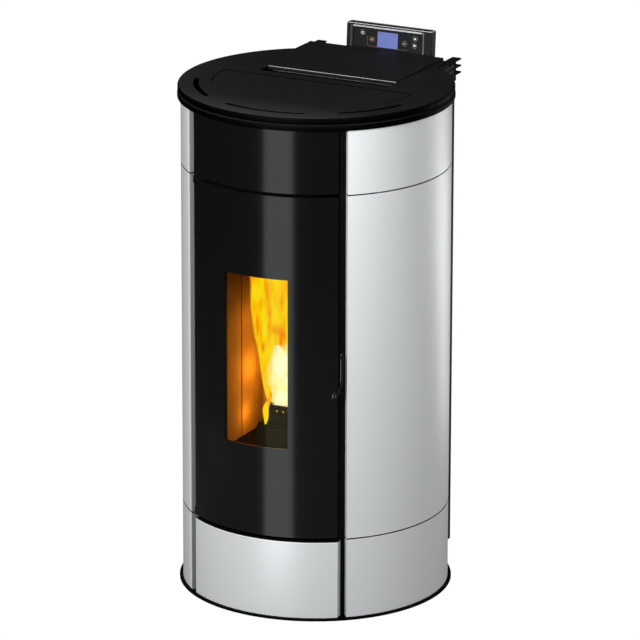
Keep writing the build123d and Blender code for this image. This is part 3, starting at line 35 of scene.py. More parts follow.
scene = bpy.context.scene
scene.view_settings.view_transform = "Standard"

# a Mix node has several sockets of one name, these are the ones for colours
mixFactor, mixUnder, mixOver, mixResult = 0, 6, 7, 2

stainWander = 0.8


def grey(level):
    return (level, level, level)


# a value goes into a socket as a link or as a setting
def plug(tree, value, socket):
    if isinstance(value, bpy.types.NodeSocket):
        tree.links.new(value, socket)
    else:
        socket.default_value = value


def wire(tree, kind, x, y, **inputs):
    node = tree.nodes.new(kind)
    node.location = (x, y)
    for key, value in inputs.items():
        plug(tree, value, node.inputs[key.replace("_", " ")])
    return node


def reckon(tree, operation, x, y, *values):
    node = wire(tree, "ShaderNodeMath", x, y)
    node.operation = operation
    for value, socket in zip(values, node.inputs):
        plug(tree, value, socket)
    return node.outputs[0]


def mixColors(tree, x, y, factor, under, over):
    node = wire(tree, "ShaderNodeMix", x, y)
    node.data_type = "RGBA"
    plug(tree, factor, node.inputs[mixFactor])
    plug(tree, under, node.inputs[mixUnder])
    plug(tree, over, node.inputs[mixOver])
    return node.outputs[mixResult]


def mixShaders(tree, x, y, factor, first, second):
    node = wire(tree, "ShaderNodeMixShader", x, y)
    for value, socket in zip((factor, first, second), node.inputs):
        plug(tree, value, socket)
    return node.outputs[0]


# turns a number into colours, each with its own place between 0 and 1
def colorSteps(tree, x, y, factor, stops, colors):
    node = wire(tree, "ShaderNodeValToRGB", x, y, Fac=factor)
    steps = node.color_ramp.elements
    steps[0].position, steps[1].position = stops[0], stops[-1]
    steps[0].color, steps[1].color = (*colors[0], 1), (*colors[-1], 1)
    for stop, color in zip(stops[1:-1], colors[1:-1]):
        steps.new(stop).color = (*color, 1)
    return node.outputs[0]


# finishes are built from a small dictionary each, always in object coordinates:
# first a slow uneven tone, then the layers that the dictionary asks for
def unevenTone(tree, place, look):
    scale, amount = look["patches"]
    patches = wire(tree, "ShaderNodeTexNoise", -1100, 300, Vector=place, Scale=scale, Detail=6)
    darker = [c * (1 - amount) for c in look["color"]]
    lighter = [min(1, c * (1 + amount)) for c in look["color"]]
    return mixColors(tree, -700, 300, patches.outputs["Fac"], (*darker, 1), (*lighter, 1))


def addCells(tree, place, tone, scale, amount, color):
    cells = wire(tree, "ShaderNodeTexVoronoi", -1100, 600, Vector=place, Scale=scale)
    pick = reckon(tree, "MULTIPLY", -850, 600, cells.outputs["Color"], amount)
    return mixColors(tree, -500, 450, pick, tone, (*color, 1))


# a stain grows with height, its edge wanders over a share of that height
def addStain(tree, place, tone, low, high, color):
    ragged = (high - low) * stainWander
    split = wire(tree, "ShaderNodeSeparateXYZ", -1100, 900, Vector=place)
    wander = wire(tree, "ShaderNodeTexNoise", -1100, 1100, Vector=place, Scale=14, Detail=8)
    shift = reckon(tree, "MULTIPLY_ADD", -850, 1000, wander.outputs["Fac"], ragged, split.outputs["Z"])
    fade = wire(tree, "ShaderNodeMapRange", -600, 900, Value=shift, From_Min=low, From_Max=high + ragged)
    return mixColors(tree, -300, 600, fade.outputs[0], tone, (*color, 1))


# along one axis the tone goes over into another
def addFade(tree, place, tone, axis, start, end, color):
    level = wire(tree, "ShaderNodeSeparateXYZ", -1100, 1500, Vector=place).outputs[axis]
    ramp = wire(tree, "ShaderNodeMapRange", -900, 1500, Value=level, From_Min=start, From_Max=end)
    return mixColors(tree, -200, 900, ramp.outputs[0], tone, (*color, 1))


# a line is the overlap of its bands, each a stretch of one axis: its middle and half its width
def addLine(tree, place, tone, color, *bands):
    inside = None
    for axis, middle, half in bands:
        level = wire(tree, "ShaderNodeSeparateXYZ", -1100, 1300, Vector=place).outputs[axis]
        band = reckon(tree, "COMPARE", -900, 1300, level, middle, half)
        inside = band if inside is None else reckon(tree, "MULTIPLY", -700, 1300, inside, band)
    return mixColors(tree, -100, 800, inside, tone, (*color, 1))


# what the bump follows: brush marks, a weave or plain grain
def reliefPattern(tree, place, look, scale):
    if "brushed" in look:
        stretch = wire(tree, "ShaderNodeMapping", -1250, -650, Vector=place, Scale=look["brushed"])
        along = stretch.outputs[0]
        marks = wire(tree, "ShaderNodeTexNoise", -1050, -650, Vector=along, Scale=scale, Detail=5)
        return marks.outputs["Fac"]
    if look.get("woven"):
        weave = wire(tree, "ShaderNodeTexWave", -1050, -650, Vector=place, Scale=scale, Distortion=3)
        weave.bands_direction = "DIAGONAL"
        return weave.outputs["Fac"]
    grain = wire(tree, "ShaderNodeTexNoise", -1100, -400, Vector=place, Scale=scale, Detail=3)
    return grain.outputs["Fac"]


def makeSurface(name, look):
    material = bpy.data.materials.new(name)
    material.use_nodes = True
    tree = material.node_tree
    shader = tree.nodes["Principled BSDF"]
    place = wire(tree, "ShaderNodeTexCoord", -1400, 0).outputs["Object"]
    rough = look["rough"]
    shader.inputs["Base Color"].default_value = (*look["color"], 1)
    shader.inputs["Metallic"].default_value = look.get("metallic", 0)
    shader.inputs["Roughness"].default_value = rough
    shader.inputs["Specular IOR Level"].default_value = look.get("specular", 0.5)
    tone = unevenTone(tree, place, look)
    if "cells" in look:
        tone = addCells(tree, place, tone, *look["cells"])
    if "stain" in look:
        tone = addStain(tree, place, tone, *look["stain"])
    for fade in look.get("fades", []):
        tone = addFade(tree, place, tone, *fade)
    for line in look.get("lines", []):
        tone = addLine(tree, place, tone, *line)
    tree.links.new(tone, shader.inputs["Base Color"])
    # roughness wanders a little
    wear = look.get("wear", 0.05)
    rubbed = wire(tree, "ShaderNodeTexNoise", -1100, -100, Vector=place, Scale=30, Detail=4)
    spread = wire(
        tree, "ShaderNodeMapRange", -700, -100, Value=rubbed.outputs["Fac"],
        To_Min=max(0.02, rough - wear), To_Max=min(1, rough + wear),
    )
    tree.links.new(spread.outputs[0], shader.inputs["Roughness"])
    # fine relief
    scale, depth = look.get("relief", (400, 0.00005))
    pattern = reliefPattern(tree, place, look, scale)
    bump = wire(tree, "ShaderNodeBump", -400, -400, Height=pattern, Distance=depth, Strength=0.5)
    tree.links.new(bump.outputs[0], shader.inputs["Normal"])
    return material


def emptyMaterial(name):
    material = bpy.data.materials.new(name)
    material.use_nodes = True
    tree = material.node_tree
    tree.nodes.remove(tree.nodes["Principled BSDF"])
    return material, tree


def dress(names, material):
    for name in names:
        mesh = nodes[name].data
        mesh.materials.clear()
        mesh.materials.append(material)


# silver side panels, with painted highlight and painted shade at their upright edges and painted shade in
# the gaps between them
silverPaint = {
    "color": (0.59, 0.61, 0.615), "metallic": 0.35, "rough": 0.42,
    "patches": (3, 0.02), "relief": (1400, 0.00002), "wear": 0.03,
}
panelPaintedLightAndShade = [
    ((0.75, 0.76, 0.765), ("X", -0.1777, 0.0034)),  # painted highlight beside the left fold
    ((0.22, 0.225, 0.23), ("X", -0.1668, 0.0067)),  # painted shade on the left fold
    (grey(0.09), ("X", 0.1605, 0.0009)),  # painted shade on the right panels' edge at the door
    (grey(0.01), ("Z", 0.1665, 0.0013)),  # painted shade in the lower gap
    (grey(0.01), ("Z", 0.8635, 0.0013)),  # painted shade in the upper gap
]
silver = makeSurface("silverPaint", {**silverPaint, "lines": panelPaintedLightAndShade})
dress([n for n in nodes if n.startswith("side_panel")], silver)

# the lower front panel, with a painted highlight along its top edge and painted shade in the gap over it
frontPaintedLightAndShade = [
    # painted highlight along the top edge
    (grey(0.9), ("Z", 0.1602, 0.0006)),
    # painted shade in the gap over it
    (grey(0.002), ("Z", 0.1620, 0.0011)),
]
silverFront = makeSurface("silverFront", {**silverPaint, "lines": frontPaintedLightAndShade})
dress(["front_lower_panel"], silverFront)

# gloss black door and the band above it
blackGloss = {
    "color": grey(0.0022), "rough": 0.17, "specular": 0.42,
    "patches": (4, 0.1), "relief": (300, 0.00001), "wear": 0.03,
}
dress(["door_panel", "front_upper_panel"], makeSurface("blackGloss", blackGloss))

# black top: plate and ring, with a painted sheen that makes them paler towards the front
topBlack = {
    "color": (0.0062, 0.0062, 0.0064), "rough": 0.5, "specular": 0.02,
    "patches": (5, 0.12), "relief": (700, 0.00003), "wear": 0.06,
    "fades": [("Y", -0.16, -0.27, (0.02, 0.02, 0.0205))],
    "lines": [
        (grey(0.0002), ("Z", 0.95, 0.0686)),  # painted shade on everything under the top face
        (grey(0.012), ("Z", 1.0042, 0.0006)),  # painted highlight on the rim of the ring
        (grey(0.0006), ("Y", 0.003, 0.0026), ("X", 0, 0.206)),  # painted shade in the straight groove across the plate
    ],
}
dress(["top_plate", "top_ring"], makeSurface("topBlack", topBlack))

# the lid is a shade smoother, with a painted highlight along its front edge
lidBlack = {
    "color": (0.0062, 0.0062, 0.0064), "rough": 0.5, "specular": 0.02,
    "patches": (6, 0.1), "relief": (700, 0.00002), "wear": 0.04,
    "lines": [(grey(0.22), ("Y", 0.0674, 0.0006))],
}
dress(["hopper_lid"], makeSurface("lidBlack", lidBlack))

# matt black steel, the rear cover a little paler and the floor plate darker
mattBlack = {
    "color": (0.0028, 0.0028, 0.003), "rough": 0.7, "specular": 0.05,
    "patches": (7, 0.15), "relief": (900, 0.00005),
}
rearBlack = {**mattBlack, "color": (0.009, 0.009, 0.0093), "specular": 0.12}
floorPlateBlack = {**mattBlack, "color": (0.0008, 0.0008, 0.0009), "specular": 0.02}
mattParts = ["front_post_left", "front_post_right", "rear_spacers", "door_frame", "glass_retainers"]
dress(mattParts, makeSurface("mattBlack", mattBlack))
dress(["rear_cover"], makeSurface("rearBlack", rearBlack))
dress(["base_plate"], makeSurface("floorPlateBlack", floorPlateBlack))

bareSteel = {
    "color": (0.42, 0.42, 0.43), "metallic": 1, "rough": 0.38,
    "patches": (9, 0.15), "brushed": (1, 1, 30), "relief": (60, 0.00004),
}
steelParts = [
    "levelling_screws", "rear_cover_screws", "lid_hinge_pins", "auger_tube", "auger", "pellet_chute",
    "exhaust_fan_housing", "exhaust_spigot", "air_intake_tube", "igniter",
]
dress(steelParts, makeSurface("bareSteel", bareSteel))

# dark lever with a painted glint down its stem and two painted glints on its knob
knobDepth = ("Y", -0.222, 0.006)
handleSteel = {
    "color": (0.002, 0.002, 0.0021), "rough": 0.22, "specular": 0.6,
    "patches": (20, 0.15), "relief": (900, 0.00003),
    "lines": [
        (grey(0.042), ("X", 0.1624, 0.0012), ("Z", 0.514, 0.023)),
        (grey(0.07), ("X", 0.1502, 0.0009), knobDepth, ("Z", 0.4635, 0.0050)),
        (grey(0.07), ("X", 0.1549, 0.0008), knobDepth, ("Z", 0.4620, 0.0018)),
    ],
}
dress(["handle_lever"], makeSurface("handleSteel", handleSteel))

# welded steel of the fire side, the firebox darker in a narrow band at its floor
weldedSteel = {
    "color": (0.009, 0.008, 0.0075), "metallic": 0.3, "rough": 0.75, "specular": 0.2,
    "patches": (12, 0.3), "relief": (300, 0.0001), "stain": (0.25, 0.8, (0.02, 0.018, 0.016)),
}
floorBandSteel = {**weldedSteel, "lines": [(grey(0.0006), ("Z", 0.3, 0.006))]}
dress(["firebox_legs", "smoke_elbow"], makeSurface("weldedSteel", weldedSteel))
dress(["firebox"], makeSurface("floorBandSteel", floorBandSteel))

zincSheet = {
    "color": (0.55, 0.56, 0.57), "metallic": 0.9, "rough": 0.4,
    "patches": (10, 0.1), "cells": (60, 0.25, (0.75, 0.76, 0.78)), "relief": (200, 0.00004),
}
dress(["hopper", "ash_pan", "room_fan_housing"], makeSurface("zincSheet", zincSheet))

# refractory board, browned by smoke towards the top
fireBoard = {
    "color": (0.17, 0.077, 0.016), "rough": 0.9, "specular": 0.05,
    "patches": (18, 0.2), "cells": (140, 0.3, (0.21, 0.11, 0.028)), "relief": (160, 0.0003),
    "stain": (0.55, 0.9, (0.07, 0.03, 0.008)),
}
dress(["side_linings", "lining_back", "baffle_plate"], makeSurface("fireBoard", fireBoard))

castIron = {
    "color": (0.006, 0.0056, 0.0053), "metallic": 0.2, "rough": 0.75, "specular": 0.2,
    "patches": (25, 0.4), "relief": (500, 0.0004), "wear": 0.1,
}
dress(["burn_pot", "pot_support"], makeSurface("castIron", castIron))

castAluminium = {
    "color": (0.7, 0.71, 0.72), "metallic": 1, "rough": 0.35,
    "patches": (15, 0.08), "relief": (400, 0.0001),
}
dress(["exhaust_fan_wheel", "room_fan_wheel"], makeSurface("castAluminium", castAluminium))

motorCase = {
    "color": (0.05, 0.05, 0.052), "metallic": 0.4, "rough": 0.5,
    "patches": (18, 0.2), "relief": (600, 0.00008),
}
dress(["auger_gearmotor", "exhaust_fan_motor", "room_fan_motor"], makeSurface("motorCase", motorCase))

# the control panel's housing is darker, with a painted highlight along its lower edge
blackPlastic = {
    "color": (0.005, 0.005, 0.0052), "rough": 0.5, "specular": 0.12,
    "patches": (20, 0.1), "relief": (1500, 0.00004),
}
housingPlastic = {
    **blackPlastic, "color": (0.0035, 0.0035, 0.0036),
    "lines": [(grey(0.3), ("Z", 1.0702, 0.0007))],
}
dress(["control_box", "power_inlet", "rocker_switch"], makeSurface("blackPlastic", blackPlastic))
dress(["panel_housing"], makeSurface("housingPlastic", housingPlastic))

glassRope = {
    "color": grey(0.06), "rough": 0.95, "patches": (60, 0.4), "woven": True, "relief": (90, 0.001),
}
dress(["door_gasket"], makeSurface("glassRope", glassRope))

siliconeSeal = {"color": grey(0.05), "rough": 0.6, "patches": (30, 0.1), "relief": (900, 0.00003)}
dress(["lid_gasket"], makeSurface("siliconeSeal", siliconeSeal))

# painted shade on the bezel's two ends
brightBezel = {
    "color": (0.42, 0.42, 0.43), "metallic": 1, "rough": 0.4,
    "patches": (30, 0.05), "relief": (900, 0.000001), "wear": 0.02,
    "lines": [(grey(0.06), ("X", -0.0605, 0.0027)), (grey(0.1), ("X", 0.0978, 0.0026))],
}
dress(["panel_bezel"], makeSurface("brightBezel", brightBezel))

displayBlue = {
    "color": (0.04, 0.05, 0.12), "rough": 0.25,
    "patches": (40, 0.08), "cells": (2500, 0.1, (0.1, 0.14, 0.4)),
    "glow": (0.3, 0.4, 1), "glowStrength": 0.28,
}
displayMaterial = makeSurface("displayBlue", displayBlue)
displayShader = displayMaterial.node_tree.nodes["Principled BSDF"]
displayShader.inputs["Emission Color"].default_value = (*displayBlue["glow"], 1)
displayShader.inputs["Emission Strength"].default_value = displayBlue["glowStrength"]
dress(["display_window"], displayMaterial)

keyCap = {
    "color": (0.014, 0.013, 0.012), "rough": 0.4, "specular": 0.3,
    "patches": (50, 0.1), "relief": (900, 0.00003),
}
dress([n for n in nodes if n.startswith("key_")], makeSurface("keyCap", keyCap))

# ceramic glass of the door, mostly see-through with a faint smoky tint
stoveGlass = {"tint": (0.98, 0.92, 0.72), "smudges": 25, "rough": (0.03, 0.12), "ior": 1.14}


def makeGlass(name, look):
    material, tree = emptyMaterial(name)
    place = wire(tree, "ShaderNodeTexCoord", -900, 0).outputs["Object"]
    smudge = wire(tree, "ShaderNodeTexNoise", -700, 0, Vector=place, Scale=look["smudges"], Detail=5)
    clean, smeared = look["rough"]
    smear = wire(
        tree, "ShaderNodeMapRange", -500, 0, Value=smudge.outputs["Fac"], To_Min=clean, To_Max=smeared,
    )
    clear = wire(tree, "ShaderNodeBsdfTransparent", -300, 150, Color=(*look["tint"], 1))
    shine = wire(tree, "ShaderNodeBsdfAnisotropic", -300, 0, Roughness=smear.outputs[0])
    edge = wire(tree, "ShaderNodeFresnel", -300, 300, IOR=look["ior"])
    both = mixShaders(tree, -100, 100, edge.outputs[0], clear.outputs[0], shine.outputs[0])
    tree.links.new(both, tree.nodes["Material Output"].inputs["Surface"])
    return material


dress(["door_glass"], makeGlass("stoveGlass", stoveGlass))
print("materials on the CAD nodes")


# one object from loose vertices and faces, with its normals turned outwards
def pieceFrom(name, vertices, faces, material, smooth=True):
    mesh = bpy.data.meshes.new(name)
    mesh.from_pydata(vertices, [], faces)
    mesh.materials.append(material)
    thing = bpy.data.objects.new(name, mesh)
    scene.collection.objects.link(thing)
    bpy.ops.object.select_all(action="DESELECT")
    bpy.context.view_layer.objects.active = thing
    thing.select_set(True)
    bpy.ops.object.mode_set(mode="EDIT")
    bpy.ops.mesh.select_all(action="SELECT")
    bpy.ops.mesh.normals_make_consistent(inside=False)
    bpy.ops.object.mode_set(mode="OBJECT")
    if smooth:
        bpy.ops.object.shade_smooth()
    return thing


# walls between two rings of vertices, each given by its first vertex
def ringFaces(lower, upper, count):
    faces = []
    for corner in range(count):
        after = (corner + 1) % count
        faces.append((lower + corner, lower + after, upper + after, upper + corner))
    return faces


# a closed shell between two copies of one outline
def addShell(vertices, faces, lower, upper):
    start, count = len(vertices), len(lower)
    vertices += lower + upper
    faces.append(tuple(range(start, start + count)))
    faces.append(tuple(reversed(range(start + count, start + 2 * count))))
    faces += ringFaces(start, start + count, count)


# how far along the noise each colour of a flame stands
glowStops = (0.36, 0.48, 0.64)


# glow of hot gas: streaks that run upwards, see-through where they are thin
def makeGlow(name, look):
    material, tree = emptyMaterial(name)
    place = wire(tree, "ShaderNodeTexCoord", -1300, 0).outputs["Object"]
    tall = wire(tree, "ShaderNodeMapping", -1100, 0, Vector=place, Scale=look["streaks"])
    streaks = wire(
        tree, "ShaderNodeTexNoise", -900, 0, Vector=tall.outputs[0], Scale=1, Detail=4, Distortion=0.6,
    )
    heat = colorSteps(tree, -650, 100, streaks.outputs["Fac"], glowStops, look["colors"])
    lit = wire(tree, "ShaderNodeEmission", -300, 100, Color=heat, Strength=look["strength"])
    thin = wire(tree, "ShaderNodeBsdfTransparent", -300, -100)
    # the flame thins out towards its outline, unevenly
    facing = wire(tree, "ShaderNodeLayerWeight", -900, -300, Blend=0.5).outputs["Facing"]
    ragged = reckon(tree, "MULTIPLY_ADD", -700, -300, streaks.outputs["Fac"], -look["ragged"], facing)
    veil = wire(
        tree, "ShaderNodeMapRange", -500, -250,
        Value=ragged, From_Min=look["solid"], From_Max=look["gone"],
    )
    veil.interpolation_type = "SMOOTHSTEP"
    both = mixShaders(tree, -100, 0, veil.outputs[0], lit.outputs[0], thin.outputs[0])
    tree.links.new(both, tree.nodes["Material Output"].inputs["Surface"])
    return material


tongueShape = {"rings": 26, "sides": 18, "lean": 1.3, "sway": 0.006, "waves": 9, "lobes": 3, "twist": 11}


# a tongue of flame is a closed spindle: wide low down, drawn out and swaying above
def addTongue(name, look, material):
    rings, sides, lean = tongueShape["rings"], tongueShape["sides"], tongueShape["lean"]
    sway, waves = tongueShape["sway"], tongueShape["waves"]
    lobes, twist = tongueShape["lobes"], tongueShape["twist"]
    footX, footY, footZ = look["foot"]
    tipX, tipY, tipZ = look["tip"]
    wide, deep = look["radius"]
    phase = look.get("phase", 0)
    vertices = [(footX, footY, footZ)]
    for ring in range(1, rings):
        up = ring / rings
        swell = math.sin(math.pi * up ** look.get("belly", 0.75)) ** look.get("full", 1)
        waver = sway * math.sin(phase + up * waves) * up
        middleX = footX + (tipX - footX) * up ** lean + waver
        middleY = footY + (tipY - footY) * up ** lean
        for side in range(sides):
            turn = 2 * math.pi * side / sides
            crinkle = 1 + look.get("crinkle", 0.1) * math.sin(lobes * turn + up * twist + phase) * up
            vertices.append((
                middleX + wide * swell * crinkle * math.cos(turn),
                middleY + deep * swell * crinkle * math.sin(turn),
                footZ + (tipZ - footZ) * up,
            ))
    vertices.append((tipX + sway * math.sin(phase + waves), tipY, tipZ))
    last = len(vertices) - 1
    faces = []
    for side in range(sides):
        after = (side + 1) % sides
        faces.append((0, 1 + after, 1 + side))
        faces.append((last, last - sides + side, last - sides + after))
    for ring in range(rings - 2):
        faces += ringFaces(1 + ring * sides, 1 + (ring + 1) * sides, sides)
    tongue = pieceFrom(name, vertices, faces, material)
    tongue.visible_shadow = False
    tongue.visible_diffuse = False
    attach(tongue, "casing")
    return tongue


yellowGlow = makeGlow("yellowGlow", {
    "streaks": (55, 55, 14), "colors": ((0.95, 0.27, 0.004), (1, 0.66, 0.004), (1, 0.86, 0.015)),
    "strength": 1, "solid": -0.15, "gone": 0.35, "ragged": 0.6,
})
orangeGlow = makeGlow("orangeGlow", {
    "streaks": (45, 45, 14), "colors": ((0.25, 0.03, 0.002), (0.85, 0.2, 0.005), (1, 0.48, 0.008)),
    "strength": 1, "solid": -0.15, "gone": 0.3, "ragged": 0.6,
})
whiteGlow = makeGlow("whiteGlow", {
    "streaks": (38, 38, 24), "colors": ((1, 0.92, 0.35), (1, 1, 0.92), (1, 1, 1)),
    "strength": 1.3, "solid": -0.4, "gone": 0.16, "ragged": 0.5,
})

whiteHeart = {"belly": 0.78, "full": 0.5, "crinkle": 0.05, "glow": whiteGlow}
flames = {
    "flame_core": {
        "foot": (-0.024, -0.112, 0.374), "tip": (-0.036, -0.102, 0.512), "radius": (0.033, 0.024),
        **whiteHeart,
    },
    "flame_core_right": {
        "foot": (0.004, -0.112, 0.374), "tip": (0.004, -0.100, 0.528), "radius": (0.044, 0.026),
        "phase": 2, **whiteHeart,
    },
    "flame_left": {
        "foot": (-0.050, -0.090, 0.380), "tip": (-0.108, -0.096, 0.770), "radius": (0.024, 0.020),
        "phase": 1, "glow": yellowGlow,
    },
    "flame_left_inner": {
        "foot": (-0.050, -0.085, 0.375), "tip": (-0.076, -0.094, 0.775), "radius": (0.030, 0.020),
        "phase": 3, "glow": yellowGlow,
    },
    "flame_left_low": {
        "foot": (-0.044, -0.106, 0.380), "tip": (-0.074, -0.096, 0.660), "radius": (0.019, 0.016),
        "phase": 2.2, "belly": 0.6, "full": 0.8, "glow": yellowGlow,
    },
    "flame_middle": {
        "foot": (-0.025, -0.080, 0.375), "tip": (-0.040, -0.085, 0.780), "radius": (0.030, 0.024),
        "phase": 5, "glow": yellowGlow,
    },
    "flame_right": {
        "foot": (0.005, -0.085, 0.375), "tip": (-0.005, -0.080, 0.770), "radius": (0.028, 0.022),
        "phase": 0.5, "glow": yellowGlow,
    },
    "flame_far_right": {
        "foot": (0.025, -0.085, 0.380), "tip": (0.040, -0.080, 0.720), "radius": (0.024, 0.020),
        "phase": 2.5, "glow": yellowGlow,
    },
    "flame_outer_left": {
        "foot": (-0.045, -0.075, 0.385), "tip": (-0.090, -0.075, 0.775), "radius": (0.042, 0.024),
        "phase": 4, "glow": orangeGlow,
    },
    "flame_outer_middle": {
        "foot": (-0.010, -0.070, 0.380), "tip": (-0.015, -0.060, 0.780), "radius": (0.055, 0.028),
        "phase": 1.5, "glow": orangeGlow,
    },
    "flame_outer_right": {
        "foot": (0.020, -0.078, 0.385), "tip": (0.055, -0.070, 0.760), "radius": (0.034, 0.024),
        "phase": 3.5, "glow": orangeGlow,
    },
    "flame_lick": {  # licks over the front edge of the pot
        "foot": (-0.035, -0.150, 0.354), "tip": (-0.026, -0.147, 0.432), "radius": (0.007, 0.005),
        "phase": 1, "glow": yellowGlow,
    },
}
for name, look in flames.items():
    addTongue(name, look, look["glow"])
print("flame:", len(flames), "tongues")

# folded return at the right edge of the lower front panel, seen in the gap
lowerFold = {
    "outer": ((0.2648, 36.32), (0.2640, 36.9), (0.2615, 37.4), (0.2575, 37.75), (0.2530, 37.95)),
    "inner": ((0.2530, 37.65), (0.2575, 37.45), (0.2610, 37.1), (0.2630, 36.7), (0.2634, 36.32)),
    "low": 0.0065, "high": 0.1615,
}


# a place on the casing, by its radius and its degrees round from the front
def onCasing(radius, degrees):
    turn = math.radians(degrees)
    return radius * math.sin(turn), -radius * math.cos(turn)


def addFold(name, look, material):
    outline = [onCasing(radius, degrees) for radius, degrees in look["outer"] + look["inner"]]
    vertices, faces = [], []
    lower, upper = ([(x, y, height) for x, y in outline] for height in (look["low"], look["high"]))
    addShell(vertices, faces, lower, upper)
    thing = pieceFrom(name, vertices, faces, material, smooth=False)
    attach(thing, "casing")
    return thing


# painted shade: the fold is coloured darker than the panel it is folded from
foldShade = {**silverPaint, "color": (0.27, 0.28, 0.285)}
addFold("front_lower_fold", lowerFold, makeSurface("foldShade", foldShade))

# thin prints on the sloping control panel, laid out in millimetres across and down it
padMiddle = Vector((0, 0.280592, 1.07149))
padLean = math.radians(4)
acrossPad = Vector((1, 0, 0))
downPad = Vector((0, -math.sin(padLean), -math.cos(padLean)))
outPad = Vector((0, -math.cos(padLean), math.sin(padLean)))
padFace, keyFace = 0, 0.9
inkDepth, inkRise = 0.02, 0.06  # how far a print goes into its face and stands above it


def onPad(across, down, height):
    return tuple(padMiddle + (acrossPad * across + downPad * down + outPad * height) / 1000)


def addPrint(name, outlines, height, body, material):
    vertices, faces = [], []
    for outline in outlines:
        lower = [onPad(across, down, height - inkDepth) for across, down in outline]
        upper = [onPad(across, down, height + inkRise) for across, down in outline]
        addShell(vertices, faces, lower, upper)
    thing = pieceFrom(name, vertices, faces, material, smooth=False)
    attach(thing, body)
    return thing


def bar(across, down, width, height):
    left, right = across - width / 2, across + width / 2
    upper, lower = down - height / 2, down + height / 2
    return [(left, upper), (right, upper), (right, lower), (left, lower)]


def arc(across, down, radius, turns):
    return [(across + radius * math.cos(turn), down + radius * math.sin(turn)) for turn in turns]


def dot(across, down, radius, corners=20):
    return arc(across, down, radius, [2 * math.pi * corner / corners for corner in range(corners)])


def hoop(across, down, outer, inner, start, end, steps=24):
    turns = [math.radians(start + (end - start) * step / steps) for step in range(steps + 1)]
    return arc(across, down, outer, turns) + arc(across, down, inner, turns[::-1])


def star(across, down, outer, inner, points):
    rim = []
    for corner in range(2 * points):
        turn = math.pi * corner / points - math.pi / 2
        rim += arc(across, down, inner if corner % 2 else outer, [turn])
    return rim


# a triangle that points up the pad with way 1, down it with way -1
def arrow(across, down, tip, foot, halfWidth, way):
    tipDown, footDown = down - way * tip, down + way * foot
    return [(across, tipDown), (across + way * halfWidth, footDown), (across - way * halfWidth, footDown)]


printLooks = {
    "printWhite": {"color": (0.62, 0.62, 0.6), "rough": 0.5, "patches": (300, 0.06)},
    "printOrange": {"color": (0.4, 0.17, 0.04), "rough": 0.5, "patches": (300, 0.08)},
    "printRed": {"color": (0.13, 0.02, 0.018), "rough": 0.5, "patches": (300, 0.1)},
    "printGrey": {"color": (0.16, 0.16, 0.155), "rough": 0.5, "patches": (300, 0.1)},
}
inks = {name: makeSurface(name, look) for name, look in printLooks.items()}

keyPlaces = {
    "power": (-37.5, 20), "mode": (-16.5, 32), "set": (55, 32.5), "up": (78, 20), "down": (77.5, 34.6),
}
keyRing = {"outer": 5.6, "inner": 5.2, "start": 0, "end": 359.9}
powerArc = {"outer": 2.7, "inner": 1.9, "start": -55, "end": 235}
powerBar = {"up": 2.1, "width": 0.9, "height": 2.6}
modeStar = {"outer": 2.8, "inner": 1.3, "points": 8}
setDots = {"apart": 2.6, "radius": 0.75}
arrowSize = {"tip": 2.4, "foot": 2, "halfWidth": 2.7}
outlineBars = ((-27, 36, 0.7, 18), (-15.8, 45.4, 21.8, 0.7), (50.5, 45.4, 19.5, 0.7), (-27, 27, 4, 0.7))

powerAcross, powerDown = keyPlaces["power"]
powerStroke = bar(powerAcross, powerDown - powerBar["up"], powerBar["width"], powerBar["height"])
powerIcon = [hoop(powerAcross, powerDown, **powerArc), powerStroke]
setAcross, setDown = keyPlaces["set"]
setIcon = [dot(setAcross + side * setDots["apart"] / 2, setDown, setDots["radius"]) for side in (-1, 1)]
upArrow = arrow(*keyPlaces["up"], **arrowSize, way=1)
downArrow = arrow(*keyPlaces["down"], **arrowSize, way=-1)
addPrint("icon_power", powerIcon, keyFace, "power_key", inks["printWhite"])
addPrint("icon_mode", [star(*keyPlaces["mode"], **modeStar)], keyFace, "mode_key", inks["printOrange"])
addPrint("icon_set", setIcon, keyFace, "set_key", inks["printWhite"])
addPrint("icon_up", [upArrow], keyFace, "up_key", inks["printWhite"])
addPrint("icon_down", [downArrow], keyFace, "down_key", inks["printWhite"])
keyRings = [hoop(across, down, **keyRing) for across, down in keyPlaces.values()]
addPrint("key_rings", keyRings, padFace, "casing", inks["printGrey"])
addPrint("pad_outline", [bar(*stroke) for stroke in outlineBars], padFace, "casing", inks["printRed"])
print("prints on the control panel")

# wood pellets: short rods thrown on a heap, all in one mesh of closed shells
pelletShape = {
    "radius": 0.003, "length": (0.009, 0.019), "sides": 8, "tip": 0.35, "toss": (-0.004, 0.002),
}
heapSteps = 16
heapSunk = 0.003  # how deep the heap's body lies under the middles of the rods


def heapHeight(look, offX, offY):
    return look["top"] + look["heap"] * (1 - offX * offX) * (1 - offY * offY)


def addRod(vertices, faces, middle, turn, tip, length):
    radius, sides = pelletShape["radius"], pelletShape["sides"]
    ahead = Vector((math.cos(turn) * math.cos(tip), math.sin(turn) * math.cos(tip), math.sin(tip)))
    beside = Vector((-math.sin(turn), math.cos(turn), 0))
    above = ahead.cross(beside)
    rounds = [2 * math.pi * side / sides for side in range(sides)]
    ends = []
    for end in (middle - ahead * length / 2, middle + ahead * length / 2):
        ends.append([
            tuple(end + beside * radius * math.cos(around) + above * radius * math.sin(around))
            for around in rounds
        ])
    addShell(vertices, faces, *ends)


